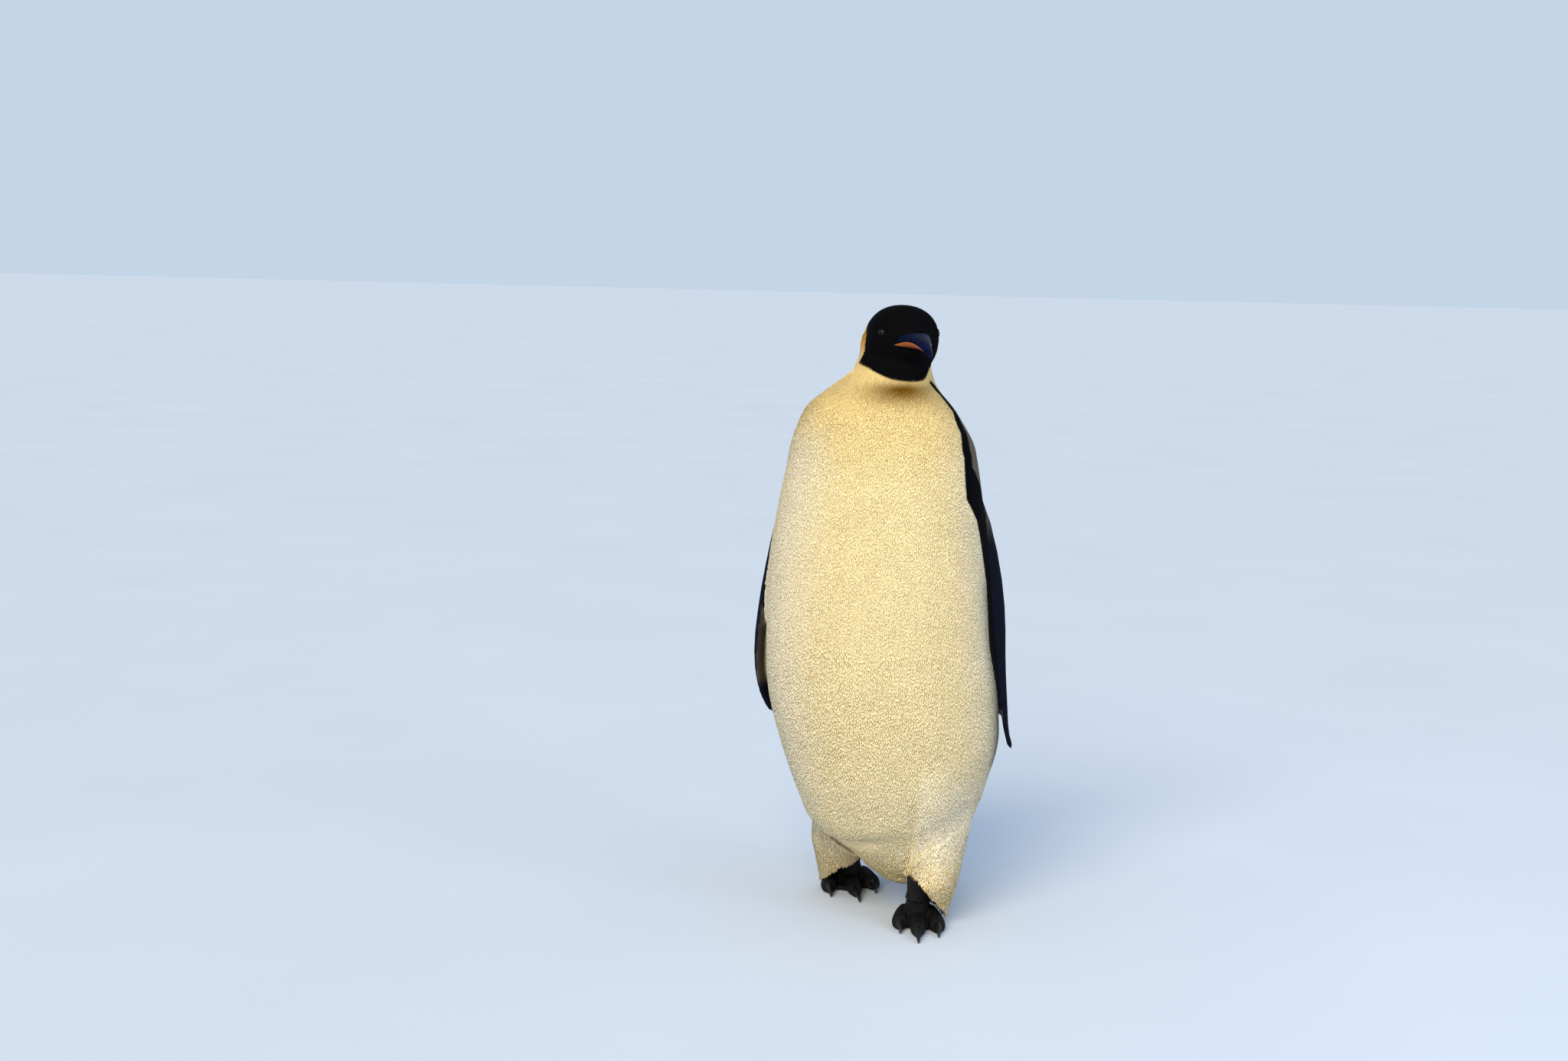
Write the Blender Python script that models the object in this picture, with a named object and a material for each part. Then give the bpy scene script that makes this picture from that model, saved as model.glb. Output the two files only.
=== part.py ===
"""Emperor penguin in mid stride, as a life-size still model.

The bird faces -Y, its left side is +X, and the floor is z = 0.  It stands upright with its
left foot a step ahead of its right one.  The body is turned a little to its own right and the
head back to its own left.  Every solid gives the outer form of the plumage, out to the feather
tips.  Lengths are metres and angles are degrees.
"""

import math
from dataclasses import dataclass

import bmesh
import bpy
import numpy as np
from mathutils import Matrix, Vector

# Clearances
GAP = 0.0003                 # left between two solids that meet at a cut
FIT_GAP = 0.0004             # left round a solid that a neighbour is cut back from
MERGE = 0.000005             # corners closer than this become one
POINT = 0.000001             # size given to a ring that closes to a point
SLAB_SIZE = 1.0              # side of the cube that makes a flat cut
FLOOR = 0.0

# Stance
BODY_YAW = -11.0             # the breast turns this far towards the bird's right
LEFT_FOOT_YAW = -2.0
RIGHT_FOOT_YAW = 9.0

# Trunk and neck, as level rings from the vent to inside the head:
# (height, centre x, centre y, half width, half depth)
BODY_RINGS = (
    (0.052, 0.042, 0.046, 0.000, 0.000),
    (0.058, 0.042, 0.052, 0.028, 0.036),
    (0.078, 0.037, 0.060, 0.058, 0.078),
    (0.110, 0.028, 0.062, 0.088, 0.114),
    (0.160, 0.0135, 0.054, 0.1365, 0.147),
    (0.220, 0.008, 0.034, 0.160, 0.157),
    (0.300, 0.001, 0.022, 0.182, 0.170),
    (0.400, -0.014, 0.012, 0.1925, 0.175),
    (0.500, -0.020, 0.010, 0.1915, 0.172),
    (0.600, -0.0235, 0.011, 0.186, 0.162),
    (0.700, -0.023, 0.012, 0.175, 0.147),
    (0.780, -0.022, 0.010, 0.161, 0.131),
    (0.840, -0.0245, 0.001, 0.1465, 0.117),
    (0.880, -0.029, -0.008, 0.121, 0.103),
    (0.910, -0.024, -0.014, 0.090, 0.089),
    (0.932, -0.0145, -0.018, 0.068, 0.077),
    (0.948, -0.0085, -0.018, 0.0625, 0.069),
    (0.965, -0.0070, -0.016, 0.0590, 0.061),
    (0.985, -0.0115, -0.012, 0.0530, 0.050),
    (1.002, -0.0140, -0.008, 0.0420, 0.038),
    (1.012, -0.0150, -0.006, 0.000, 0.000),
)
BODY_SQUARENESS = 2.15       # exponent of the rings' superellipse, 2 is an ellipse
BODY_SEGMENTS = 32
TRUNK_LEVELS = 25
NECK_LEVELS = 8
NECK_BASE = 0.872            # the trunk ends here and the neck starts
HEAD_BASE = 0.934            # the neck ends here and the head starts
NECK_SPARE = 0.02            # the neck is made this much longer and then cut

# Head, as rings square to its own axis, from the nape forward:
# (forward, half width, up, down)
HEAD_CENTRE = Vector((0.002, -0.030, 0.988))
HEAD_YAW = 18.5              # the bill turns this far towards the bird's left
HEAD_PITCH = 9.0             # and this far below level
HEAD_SQUARENESS = 2.2
HEAD_RINGS = (
    (-0.0760, 0.0000, -0.010, 0.010),
    (-0.0710, 0.0220, 0.014, 0.030),
    (-0.0580, 0.0400, 0.034, 0.050),
    (-0.0320, 0.0550, 0.0530, 0.062),
    (-0.0050, 0.0600, 0.0605, 0.062),
    (0.0180, 0.0585, 0.0612, 0.056),
    (0.0350, 0.0500, 0.0570, 0.047),
    (0.0460, 0.0370, 0.0492, 0.036),
    (0.0540, 0.0275, 0.0415, 0.026),
    (0.0615, 0.0200, 0.0348, 0.016),
    (0.0695, 0.0120, 0.0290, 0.007),
    (0.0770, 0.0000, 0.0150, -0.015),
)
HEAD_SEGMENTS = 28
HEAD_LEVELS = 17

# Bill, along the head's axis: (forward, culmen, cutting edge, underside, half width)
BILL_RINGS = (
    (0.034, 0.0300, 0.0030, -0.0100, 0.0350),
    (0.050, 0.0300, 0.0055, -0.0060, 0.0325),
    (0.060, 0.0298, 0.0105, -0.0020, 0.0266),
    (0.072, 0.0286, 0.0148, 0.0018, 0.0202),
    (0.086, 0.0260, 0.0155, 0.0044, 0.0148),
    (0.101, 0.0215, 0.0130, 0.0046, 0.0104),
    (0.114, 0.0158, 0.0090, 0.0032, 0.0072),
    (0.126, 0.0085, 0.0038, 0.0002, 0.0042),
    (0.1355, 0.0004, -0.0014, -0.0030, 0.0014),
)
BILL_LEVELS = 11
BILL_SEGMENTS = 12
BILL_FULLNESS = 0.85         # below 1 the sides of a half stand fuller
BILL_LIP = 0.12              # share of a ring that lies flat along the cutting edge
PLATE_SPAN = (0.050, 0.117)  # the coloured plate's two ends, forward of the head's centre
PLATE_THICKNESS = 0.0012
PLATE_EDGE = 0.0006          # least thickness, at its ends
PLATE_END_DEPTH = 0.0009
PLATE_DROP = 0.0006          # it starts this far below the cutting edge
PLATE_TUCK = 0.34            # its lower edge tucks in by this share of its depth
PLATE_BULGE = 0.0004         # its middle stands out past its top by this
PLATE_SWELL = 0.6            # the lower, the blunter its ends
PLATE_SHARE = 0.74           # part of the lower half's depth that the plate covers
PLATE_LEVELS = 11

# Eyes
EYE_FORWARD = 0.033
EYE_UP = 0.0215
EYE_RADIUS = 0.0092
EYE_PROUD = 0.0016           # how far the ball stands out of the plumage
EYE_STEP = 0.005             # the head's taper at the eye is measured over this

# Flippers, as level rings hung from the shoulder:
# (height, leading edge x, leading edge y, chord, thickness, sweep)
LEFT_FLIPPER = (
    (0.785, 0.086, -0.004, 0.056, 0.034, 14.0),
    (0.740, 0.1165, -0.014, 0.080, 0.040, 14.0),
    (0.685, 0.1395, -0.021, 0.094, 0.032, 14.0),
    (0.630, 0.1540, -0.022, 0.099, 0.026, 15.0),
    (0.530, 0.1710, -0.018, 0.096, 0.021, 16.0),
    (0.430, 0.1835, -0.006, 0.084, 0.017, 13.0),
    (0.360, 0.1940, 0.006, 0.066, 0.013, 12.0),
    (0.315, 0.2040, 0.020, 0.042, 0.010, 10.0),
    (0.295, 0.2120, 0.032, 0.020, 0.008, 10.0),
    (0.290, 0.2155, 0.042, 0.000, 0.000, 10.0),
)
RIGHT_FLIPPER = (
    (0.785, -0.138, 0.036, 0.056, 0.034, 8.0),
    (0.740, -0.166, 0.032, 0.080, 0.040, 8.0),
    (0.685, -0.189, 0.030, 0.094, 0.032, 8.0),
    (0.620, -0.2055, 0.030, 0.099, 0.026, 9.0),
    (0.530, -0.2220, 0.034, 0.096, 0.021, 12.0),
    (0.450, -0.2290, 0.040, 0.086, 0.017, 16.0),
    (0.400, -0.2250, 0.048, 0.072, 0.014, 20.0),
    (0.362, -0.2130, 0.060, 0.050, 0.012, 24.0),
    (0.343, -0.2020, 0.072, 0.026, 0.009, 28.0),
    (0.336, -0.1950, 0.084, 0.000, 0.000, 28.0),
)
FLIPPER_LEVELS = 15
FLIPPER_SEGMENTS = 16
FLIPPER_TAPER = 0.45         # how much thinner the trailing half is

# Legs, as level rings from inside the trunk to the ankle:
# (height, centre x, centre y, half width, half depth)
LEFT_LEG = (
    (0.230, 0.080, 0.000, 0.052, 0.055),
    (0.170, 0.088, -0.010, 0.060, 0.066),
    (0.110, 0.0840, -0.020, 0.0510, 0.058),
    (0.070, 0.0765, -0.022, 0.0475, 0.050),
    (0.030, 0.0710, -0.016, 0.0430, 0.042),
    (0.008, 0.0700, -0.012, 0.0380, 0.036),
)
RIGHT_LEG = (
    (0.230, -0.066, 0.070, 0.050, 0.055),
    (0.170, -0.074, 0.096, 0.054, 0.064),
    (0.110, -0.0770, 0.130, 0.0460, 0.056),
    (0.070, -0.0735, 0.156, 0.0420, 0.048),
    (0.030, -0.0685, 0.176, 0.0400, 0.040),
    (0.008, -0.0670, 0.182, 0.0370, 0.034),
)
LEG_LEVELS = 9
LEG_SEGMENTS = 20
# The feather hem over a foot: its height over the tarsus and its rise inward and forward
LEFT_HEM = (0.066, 0.95, 0.22)
RIGHT_HEM = (0.047, 0.62, 0.22)

# Feet, in their own frame: forward and outward from the tarsus
LEFT_TARSUS = Vector((0.058, -0.026, 0.0))
RIGHT_TARSUS = Vector((-0.054, 0.196, 0.0))
LEFT_SPLAY = 1.0             # widens the spread of the toes
RIGHT_SPLAY = 1.30
TARSUS_RADIUS = 0.020
TARSUS_SHAPE = (             # (height, share of the radius)
    (0.000, 1.15), (0.014, 1.22), (0.030, 1.10), (0.050, 0.95), (0.080, 1.00), (0.120, 1.05),
)
TARSUS_LEAN = 0.30           # how far the tarsus leans forward as it rises
TARSUS_DEPTH = 1.12          # front to back, against side to side
HEEL_BACK = 0.024            # the heel lies this far behind the tarsus
CLAW_ROOT = 0.86             # the claw starts at this share of its toe
CLAW_CURL = 1.2
CLAW_RADIUS = 0.0060
CLAW_TIP = 0.0010
CLAW_RISE = 0.0125           # height of the claw's middle where it leaves the toe
CLAW_TAPER = 0.7
CLAW_FALL = 2.2              # the higher, the later the claw comes down
CLAW_REST = 0.6              # height of the tip's middle, as a share of its radius
CLAW_SEGMENTS = 8
CLAW_LEVELS = 5
TOE_START = -0.12            # a toe starts this share of its length behind its root
TOE_ROUND = 0.66             # its tip starts to round at this share
TOE_ROUND_REACH = 0.36
TOE_ROUND_END = 0.02         # least share of the tip, squared, so that it ends blunt
TOE_SWELL = 1.15             # height at the root, against the named height
TOE_FALL = 0.40              # part of that height lost along the toe
TOE_MIDDLE = 0.42            # the ring's middle, as a share of the toe's height
TOE_LEVELS = 6
TOE_SEGMENTS = 12
WEB_LIFT = 0.0006            # the web clears the floor by this
WEB_THICKNESS = 0.0080
WEB_REACH = 0.66             # part of a toe's length that the web joins
WEB_HOLLOW = 0.006           # the web's edge falls back this far between two toes
HEEL_HALF_WIDTH = 0.012

# Rump and tail, a wedge from inside the trunk down to the floor:
# (back, height, half width, half thickness), back is behind the middle of the trunk
TAIL_RINGS = (
    (0.055, 0.350, 0.115, 0.098),
    (0.102, 0.262, 0.112, 0.084),
    (0.142, 0.197, 0.096, 0.065),
    (0.175, 0.146, 0.076, 0.045),
    (0.200, 0.104, 0.057, 0.027),
    (0.220, 0.068, 0.045, 0.015),
    (0.237, 0.034, 0.035, 0.009),
    (0.251, 0.004, 0.024, 0.006),
    (0.256, -0.006, 0.018, 0.005),
)
TAIL_MIDDLE = Vector((-0.004, 0.020, 0.0))
TAIL_ROOT = 0.112            # the rump belongs to the trunk above this height
TAIL_LEVELS = 12
TAIL_SEGMENTS = 20


@dataclass(frozen=True)
class Finish:
    """Colour and gloss of one part of the bird."""

    name: str
    colour: tuple
    roughness: float


BLACK_PLUMAGE = Finish("black_plumage", (0.010, 0.011, 0.015), 0.55)
PALE_PLUMAGE = Finish("pale_plumage", (0.80, 0.72, 0.50), 0.65)
YELLOW_PLUMAGE = Finish("yellow_plumage", (0.86, 0.62, 0.20), 0.65)
SCALY_FOOT = Finish("scaly_foot", (0.018, 0.017, 0.018), 0.45)
HORN = Finish("horn", (0.012, 0.012, 0.014), 0.30)
PLATE = Finish("bill_plate", (0.70, 0.26, 0.06), 0.35)
EYE = Finish("eye", (0.012, 0.007, 0.005), 0.05)


@dataclass(frozen=True)
class Toe:
    """One front toe: its aim, its length to the claw and its thickness."""

    name: str
    root: float              # outward place of its root
    angle: float             # turns outward from straight ahead
    bend: float              # the tip turns back inward by this
    length: float
    half_width: float
    height: float
    claw: float


TOES = (
    Toe("inner", -0.0225, -20.0, 22.0, 0.045, 0.0152, 0.0280, 0.022),
    Toe("middle", 0.0000, 0.0, 0.0, 0.084, 0.0140, 0.0290, 0.031),
    Toe("outer", 0.0225, 21.0, -20.0, 0.058, 0.0152, 0.0280, 0.024),
)


def clear_scene():
    """Remove every object that is already there."""
    for obj in list(bpy.data.objects):
        bpy.data.objects.remove(obj, do_unlink=True)


def material(finish):
    """Return the Principled material of a finish."""
    mat = bpy.data.materials.get(finish.name) or bpy.data.materials.new(finish.name)
    mat.use_nodes = True
    shader = mat.node_tree.nodes["Principled BSDF"]
    shader.inputs["Base Color"].default_value = (*finish.colour, 1.0)
    shader.inputs["Roughness"].default_value = finish.roughness
    shader.inputs["Metallic"].default_value = 0.0
    return mat


def along(stations, places):
    """Read a table of stations at any places, on a smooth curve through its rows."""
    table = np.array(stations, dtype=float)
    knots, values = table[:, 0], table[:, 1:]
    steps = np.diff(knots)[:, None]
    chords = np.diff(values, axis=0) / steps
    slopes = np.empty_like(values)
    slopes[0], slopes[-1] = chords[0], chords[-1]
    before, after = steps[:-1], steps[1:]
    slopes[1:-1] = (chords[:-1] * after + chords[1:] * before) / (before + after)
    rows = []
    for place in places:
        low, high = knots[0], knots[-1]
        place = min(max(place, min(low, high)), max(low, high))
        if high > low:
            cell = int(np.clip(np.searchsorted(knots, place) - 1, 0, len(knots) - 2))
        else:
            cell = int(np.clip(np.searchsorted(-knots, -place) - 1, 0, len(knots) - 2))
        width = knots[cell + 1] - knots[cell]
        t = (place - knots[cell]) / width
        rows.append(
            (2 * t**3 - 3 * t**2 + 1) * values[cell]
            + (t**3 - 2 * t**2 + t) * width * slopes[cell]
            + (3 * t**2 - 2 * t**3) * values[cell + 1]
            + (t**3 - t**2) * width * slopes[cell + 1]
        )
    return rows


def eased(start, end, count, round_start=True, round_end=True):
    """Space places from start to end, closer together at an end that is rounded."""
    places = []
    for i in range(count + 1):
        t = i / count
        if round_start and round_end:
            t = 0.5 - 0.5 * math.cos(math.pi * t)
        elif round_start:
            t = 1.0 - math.cos(0.5 * math.pi * t)
        elif round_end:
            t = math.sin(0.5 * math.pi * t)
        places.append(start + (end - start) * t)
    return places


def signed_power(value, power):
    """Raise the size of a number to a power and keep its sign."""
    return math.copysign(abs(value) ** power, value)


def loft(name, rings, finish):
    """Skin a row of rings and close both ends with a fan about their middle."""
    mesh = bmesh.new()
    loops = [[mesh.verts.new(point) for point in ring] for ring in rings]
    count = len(loops[0])
    for lower, upper in zip(loops, loops[1:]):
        for i in range(count):
            j = (i + 1) % count
            mesh.faces.new((lower[i], lower[j], upper[j], upper[i]))
    for loop in (loops[0], loops[-1]):
        middle = sum((v.co for v in loop), Vector()) / count
        pole = mesh.verts.new(middle)
        for i in range(count):
            mesh.faces.new((loop[i], loop[(i + 1) % count], pole))
    return finished(name, mesh, finish)


def finished(name, mesh, finish):
    """Close up a bmesh, turn its faces outward and make it a smooth named object."""
    bmesh.ops.remove_doubles(mesh, verts=mesh.verts, dist=MERGE)
    bmesh.ops.triangulate(mesh, faces=mesh.faces)
    bmesh.ops.recalc_face_normals(mesh, faces=mesh.faces)
    data = bpy.data.meshes.new(name)
    mesh.to_mesh(data)
    mesh.free()
    data.shade_smooth()
    obj = bpy.data.objects.new(name, data)
    bpy.context.scene.collection.objects.link(obj)
    obj.data.materials.append(material(finish))
    return obj


def combine(obj, tool, operation):
    """Join, cut or crop a solid with another one and keep the result as its mesh."""
    modifier = obj.modifiers.new(operation.lower(), "BOOLEAN")
    modifier.operation = operation
    modifier.solver = "EXACT"
    modifier.object = tool
    graph = bpy.context.evaluated_depsgraph_get()
    result = bpy.data.meshes.new_from_object(obj.evaluated_get(graph))
    obj.modifiers.remove(modifier)
    mesh = bmesh.new()
    mesh.from_mesh(result)
    bmesh.ops.remove_doubles(mesh, verts=mesh.verts, dist=MERGE)
    bmesh.ops.triangulate(mesh, faces=mesh.faces)
    mesh.to_mesh(result)
    mesh.free()
    kept = obj.data.materials[0]
    result.materials.clear()
    result.materials.append(kept)
    obj.data = result
    obj.data.shade_smooth()
    bpy.data.objects.remove(tool, do_unlink=True)
    return obj


def swollen(obj, amount):
    """Copy a solid and push its surface outward by an amount."""
    copy = bpy.data.objects.new("cutter", obj.data.copy())
    bpy.context.scene.collection.objects.link(copy)
    copy.hide_render = True
    copy.display_type = "WIRE"
    mesh = bmesh.new()
    mesh.from_mesh(copy.data)
    mesh.normal_update()
    moves = [(v, v.co + v.normal * amount * max(1.0, v.calc_shell_factor())) for v in mesh.verts]
    for vert, place in moves:
        vert.co = place
    mesh.to_mesh(copy.data)
    mesh.free()
    return copy


def cut_back(obj, neighbour):
    """Cut a solid back until it just clears its neighbour."""
    return combine(obj, swollen(neighbour, FIT_GAP), "DIFFERENCE")


def slab(point, normal):
    """Make a cutter: a cube that fills the side of a plane its normal points to."""
    mesh = bmesh.new()
    bmesh.ops.create_cube(mesh, size=SLAB_SIZE)
    bmesh.ops.translate(mesh, verts=mesh.verts, vec=(0.0, 0.0, SLAB_SIZE / 2))
    turn = Vector((0, 0, 1)).rotation_difference(Vector(normal)).to_matrix().to_4x4()
    bmesh.ops.transform(mesh, matrix=Matrix.Translation(point) @ turn, verts=mesh.verts)
    cutter = finished("cutter", mesh, BLACK_PLUMAGE)
    cutter.hide_render = True
    cutter.display_type = "WIRE"
    return cutter


def crop(obj, point, normal):
    """Cut away the side of a plane that its normal points to, less half a gap."""
    normal = Vector(normal).normalized()
    return combine(obj, slab(Vector(point) - normal * GAP / 2, normal), "DIFFERENCE")


def level_ring(centre, half_width, half_depth, yaw, segments):
    """Return a level superellipse ring that is turned about its centre."""
    turn = Matrix.Rotation(math.radians(yaw), 3, "Z")
    points = []
    for i in range(segments):
        angle = 2 * math.pi * i / segments
        x = half_width * signed_power(math.cos(angle), 2 / BODY_SQUARENESS)
        y = half_depth * signed_power(math.sin(angle), 2 / BODY_SQUARENESS)
        points.append(centre + turn @ Vector((x, y, 0.0)))
    return points


def upright_rings(stations, heights, yaw, segments):
    """Return the level rings of a table of stations at the given heights."""
    rings = []
    for height, row in zip(heights, along(stations, heights)):
        x, y, half_width, half_depth = row
        centre = Vector((x, y, height))
        rings.append(level_ring(centre, max(half_width, POINT), max(half_depth, POINT), yaw, segments))
    return rings


def head_frame():
    """Return the head's axes and place: x forward, y to the bird's left, z up."""
    yaw = Matrix.Rotation(math.radians(HEAD_YAW - 90.0), 4, "Z")
    pitch = Matrix.Rotation(math.radians(HEAD_PITCH), 4, "Y")
    return Matrix.Translation(HEAD_CENTRE) @ yaw @ pitch


def head_and_neck():
    """Make the head with the neck inside it as one solid."""
    frame = head_frame()
    rings = []
    places = eased(HEAD_RINGS[0][0], HEAD_RINGS[-1][0], HEAD_LEVELS)
    for place, row in zip(places, along(HEAD_RINGS, places)):
        half_width, up, down = row
        half_width = max(half_width, POINT)
        middle, half_height = (up - down) / 2, max((up + down) / 2, POINT)
        ring = []
        for i in range(HEAD_SEGMENTS):
            angle = 2 * math.pi * i / HEAD_SEGMENTS
            side = half_width * signed_power(math.cos(angle), 2 / HEAD_SQUARENESS)
            rise = middle + half_height * signed_power(math.sin(angle), 2 / HEAD_SQUARENESS)
            ring.append(frame @ Vector((place, side, rise)))
        rings.append(ring)
    head = loft("head", rings, BLACK_PLUMAGE)
    heights = eased(NECK_BASE - NECK_SPARE, BODY_RINGS[-1][0], NECK_LEVELS, round_start=False)
    neck = loft("neck", upright_rings(BODY_RINGS, heights, BODY_YAW, BODY_SEGMENTS), YELLOW_PLUMAGE)
    return combine(head, neck, "UNION")


def copy_of(obj, name, finish):
    """Copy a solid under a new name and finish."""
    copy = bpy.data.objects.new(name, obj.data.copy())
    bpy.context.scene.collection.objects.link(copy)
    copy.data.materials.clear()
    copy.data.materials.append(material(finish))
    return copy


def part_head_from_neck():
    """Part the head and the neck along two level cuts."""
    head = head_and_neck()
    neck = copy_of(head, "neck", YELLOW_PLUMAGE)
    crop(head, (0, 0, HEAD_BASE), (0, 0, -1))
    crop(neck, (0, 0, HEAD_BASE), (0, 0, 1))
    crop(neck, (0, 0, NECK_BASE), (0, 0, -1))
    return head, neck


def trunk():
    """Make the trunk from the vent to the base of the neck."""
    top = NECK_BASE - GAP / 2
    heights = eased(BODY_RINGS[0][0], top, TRUNK_LEVELS, round_end=False)
    rings = upright_rings(BODY_RINGS, heights, BODY_YAW, BODY_SEGMENTS)
    return loft("trunk", rings, PALE_PLUMAGE)


def flipper(name, stations):
    """Make a flipper: a long blade with a round leading edge and a thin trailing one."""
    rings = []
    heights = eased(stations[0][0], stations[-1][0], FLIPPER_LEVELS, round_start=False)
    for height, row in zip(heights, along(stations, heights)):
        x, y, chord, thickness, sweep = row
        sweep = math.radians(sweep)
        back = Vector((math.sin(sweep), math.cos(sweep), 0.0))
        out = Vector((math.cos(sweep), -math.sin(sweep), 0.0))
        chord, thickness = max(chord, POINT), max(thickness, POINT)
        ring = []
        for i in range(FLIPPER_SEGMENTS):
            angle = 2 * math.pi * i / FLIPPER_SEGMENTS
            share = 0.5 - 0.5 * math.cos(angle)
            half = thickness / 2 * math.sin(angle) * (1.0 - FLIPPER_TAPER * share)
            ring.append(Vector((x, y, height)) + back * chord * share + out * half)
        rings.append(ring)
    return loft(name, rings, BLACK_PLUMAGE)


def leg(name, stations):
    """Make one feathered leg, down to the ankle."""
    heights = eased(stations[0][0], stations[-1][0], LEG_LEVELS, False, False)
    return loft(name, upright_rings(stations, heights, BODY_YAW, LEG_SEGMENTS), PALE_PLUMAGE)


def rump_and_tail():
    """Make the rump and tail: a wedge whose tip rests flat on the floor."""
    turn = Matrix.Rotation(math.radians(BODY_YAW), 3, "Z")
    spread = turn @ Vector((1, 0, 0))
    rings = []
    places = eased(TAIL_RINGS[0][0], TAIL_RINGS[-1][0], TAIL_LEVELS, False, False)
    rows = along(TAIL_RINGS, places)
    centres = [TAIL_MIDDLE + turn @ Vector((0, back, row[0])) for back, row in zip(places, rows)]
    for i, row in enumerate(rows):
        _, half_width, half_thickness = row
        heading = (centres[min(i + 1, len(rows) - 1)] - centres[max(i - 1, 0)]).normalized()
        out = heading.cross(spread).normalized()
        ring = []
        for k in range(TAIL_SEGMENTS):
            angle = 2 * math.pi * k / TAIL_SEGMENTS
            side = spread * half_width * math.cos(angle)
            point = centres[i] + side + out * half_thickness * math.sin(angle)
            point.z = max(point.z, FLOOR)
            ring.append(point)
        rings.append(ring)
    return loft("tail", rings, BLACK_PLUMAGE)


def trunk_and_tail():
    """Join the rump to the trunk and part the stiff tail from it."""
    wedge = rump_and_tail()
    rump = copy_of(wedge, "rump", PALE_PLUMAGE)
    crop(rump, (0, 0, TAIL_ROOT), (0, 0, -1))
    crop(wedge, (0, 0, TAIL_ROOT), (0, 0, 1))
    body = combine(trunk(), rump, "UNION")
    return body, cut_back(wedge, body)


def toe_path(toe, foot_side, share):
    """Return a toe's centre line at a share of its length, forward and outward."""
    side, splay = foot_side
    angle = splay * math.radians(toe.angle + toe.bend * share / 2)
    reach = toe.length * share
    return reach * math.cos(angle), side * (splay * toe.root + reach * math.sin(angle))


def foot_frame(tarsus, yaw):
    """Return a foot's frame: x forward, y to the bird's left."""
    return Matrix.Translation(tarsus) @ Matrix.Rotation(math.radians(yaw - 90.0), 4, "Z")


def toe_solid(toe, frame, foot_side):
    """Make one toe, rounded on top and flat under its sole."""
    rings = []
    for level in range(TOE_LEVELS + 1):
        share = TOE_START + (1.0 - TOE_START) * level / TOE_LEVELS
        forward, outward = toe_path(toe, foot_side, share)
        past = max(share - TOE_ROUND, 0.0) / TOE_ROUND_REACH
        fade = math.sqrt(max(1.0 - past**2, TOE_ROUND_END))
        half = toe.half_width * fade
        top = toe.height * (TOE_SWELL - TOE_FALL * share) * fade
        ring = []
        for k in range(TOE_SEGMENTS):
            angle = 2 * math.pi * k / TOE_SEGMENTS
            lift = top * (TOE_MIDDLE + (1.0 - TOE_MIDDLE) * math.sin(angle))
            ring.append(frame @ Vector((forward, outward + half * math.cos(angle), max(lift, 0.0))))
        rings.append(ring)
    return loft("toe_" + toe.name, rings, SCALY_FOOT)


def web_solid(frame, foot_side):
    """Make the web and the heel: one flat plate with a hollow edge between the toes."""
    side = foot_side[0]
    outline = [(-HEEL_BACK, side * HEEL_HALF_WIDTH), (-HEEL_BACK, -side * HEEL_HALF_WIDTH)]
    ends = [toe_path(toe, foot_side, WEB_REACH) for toe in TOES]
    for i, (forward, outward) in enumerate(ends):
        outline.append((forward, outward))
        if i + 1 < len(ends):
            after = ends[i + 1]
            middle = 0.5 * (forward + after[0]) - WEB_HOLLOW
            outline.append((middle, 0.5 * (outward + after[1])))
    mesh = bmesh.new()
    corners = [mesh.verts.new(frame @ Vector((f, o, WEB_LIFT))) for f, o in outline]
    face = mesh.faces.new(corners)
    top = bmesh.ops.extrude_face_region(mesh, geom=[face])["geom"]
    raised = [item for item in top if isinstance(item, bmesh.types.BMVert)]
    bmesh.ops.translate(mesh, verts=raised, vec=(0, 0, WEB_THICKNESS))
    return finished("web", mesh, SCALY_FOOT)


def tarsus_solid(frame):
    """Make the short shank, which widens into the foot and leans forward as it rises."""
    rings = []
    for height, share in TARSUS_SHAPE:
        radius = TARSUS_RADIUS * share
        forward = TARSUS_LEAN * max(height - TARSUS_SHAPE[1][0], 0.0)
        ring = []
        for k in range(TOE_SEGMENTS):
            angle = 2 * math.pi * k / TOE_SEGMENTS
            place = (forward + radius * TARSUS_DEPTH * math.cos(angle), radius * math.sin(angle), height)
            ring.append(frame @ Vector(place))
        rings.append(ring)
    return loft("tarsus", rings, SCALY_FOOT)


def claw_solid(name, toe, frame, foot_side):
    """Make one claw: a curved, pointed horn whose tip comes down to the floor."""
    forward, outward = toe_path(toe, foot_side, CLAW_ROOT)
    ahead = toe_path(toe, foot_side, 1.0)
    aim = Vector((ahead[0] - forward, ahead[1] - outward, 0.0)).normalized()
    across = Vector((-aim.y, aim.x, 0.0))
    reach_all = toe.claw + toe.length * (1.0 - CLAW_ROOT)
    rings = []
    for level in range(CLAW_LEVELS + 1):
        share = level / CLAW_LEVELS
        reach = reach_all * math.sin(share * CLAW_CURL) / math.sin(CLAW_CURL)
        radius = CLAW_RADIUS * (1.0 - share) ** CLAW_TAPER + CLAW_TIP
        rise = (CLAW_RISE - CLAW_TIP) * (1.0 - share**CLAW_FALL) + CLAW_TIP * CLAW_REST
        centre = Vector((forward, outward, rise)) + aim * reach
        ring = []
        for k in range(CLAW_SEGMENTS):
            angle = 2 * math.pi * k / CLAW_SEGMENTS
            point = centre + across * radius * math.cos(angle)
            point += Vector((0, 0, 1)) * radius * math.sin(angle)
            point.z = max(point.z, FLOOR)
            ring.append(frame @ point)
        rings.append(ring)
    return loft(name, rings, HORN)


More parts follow.
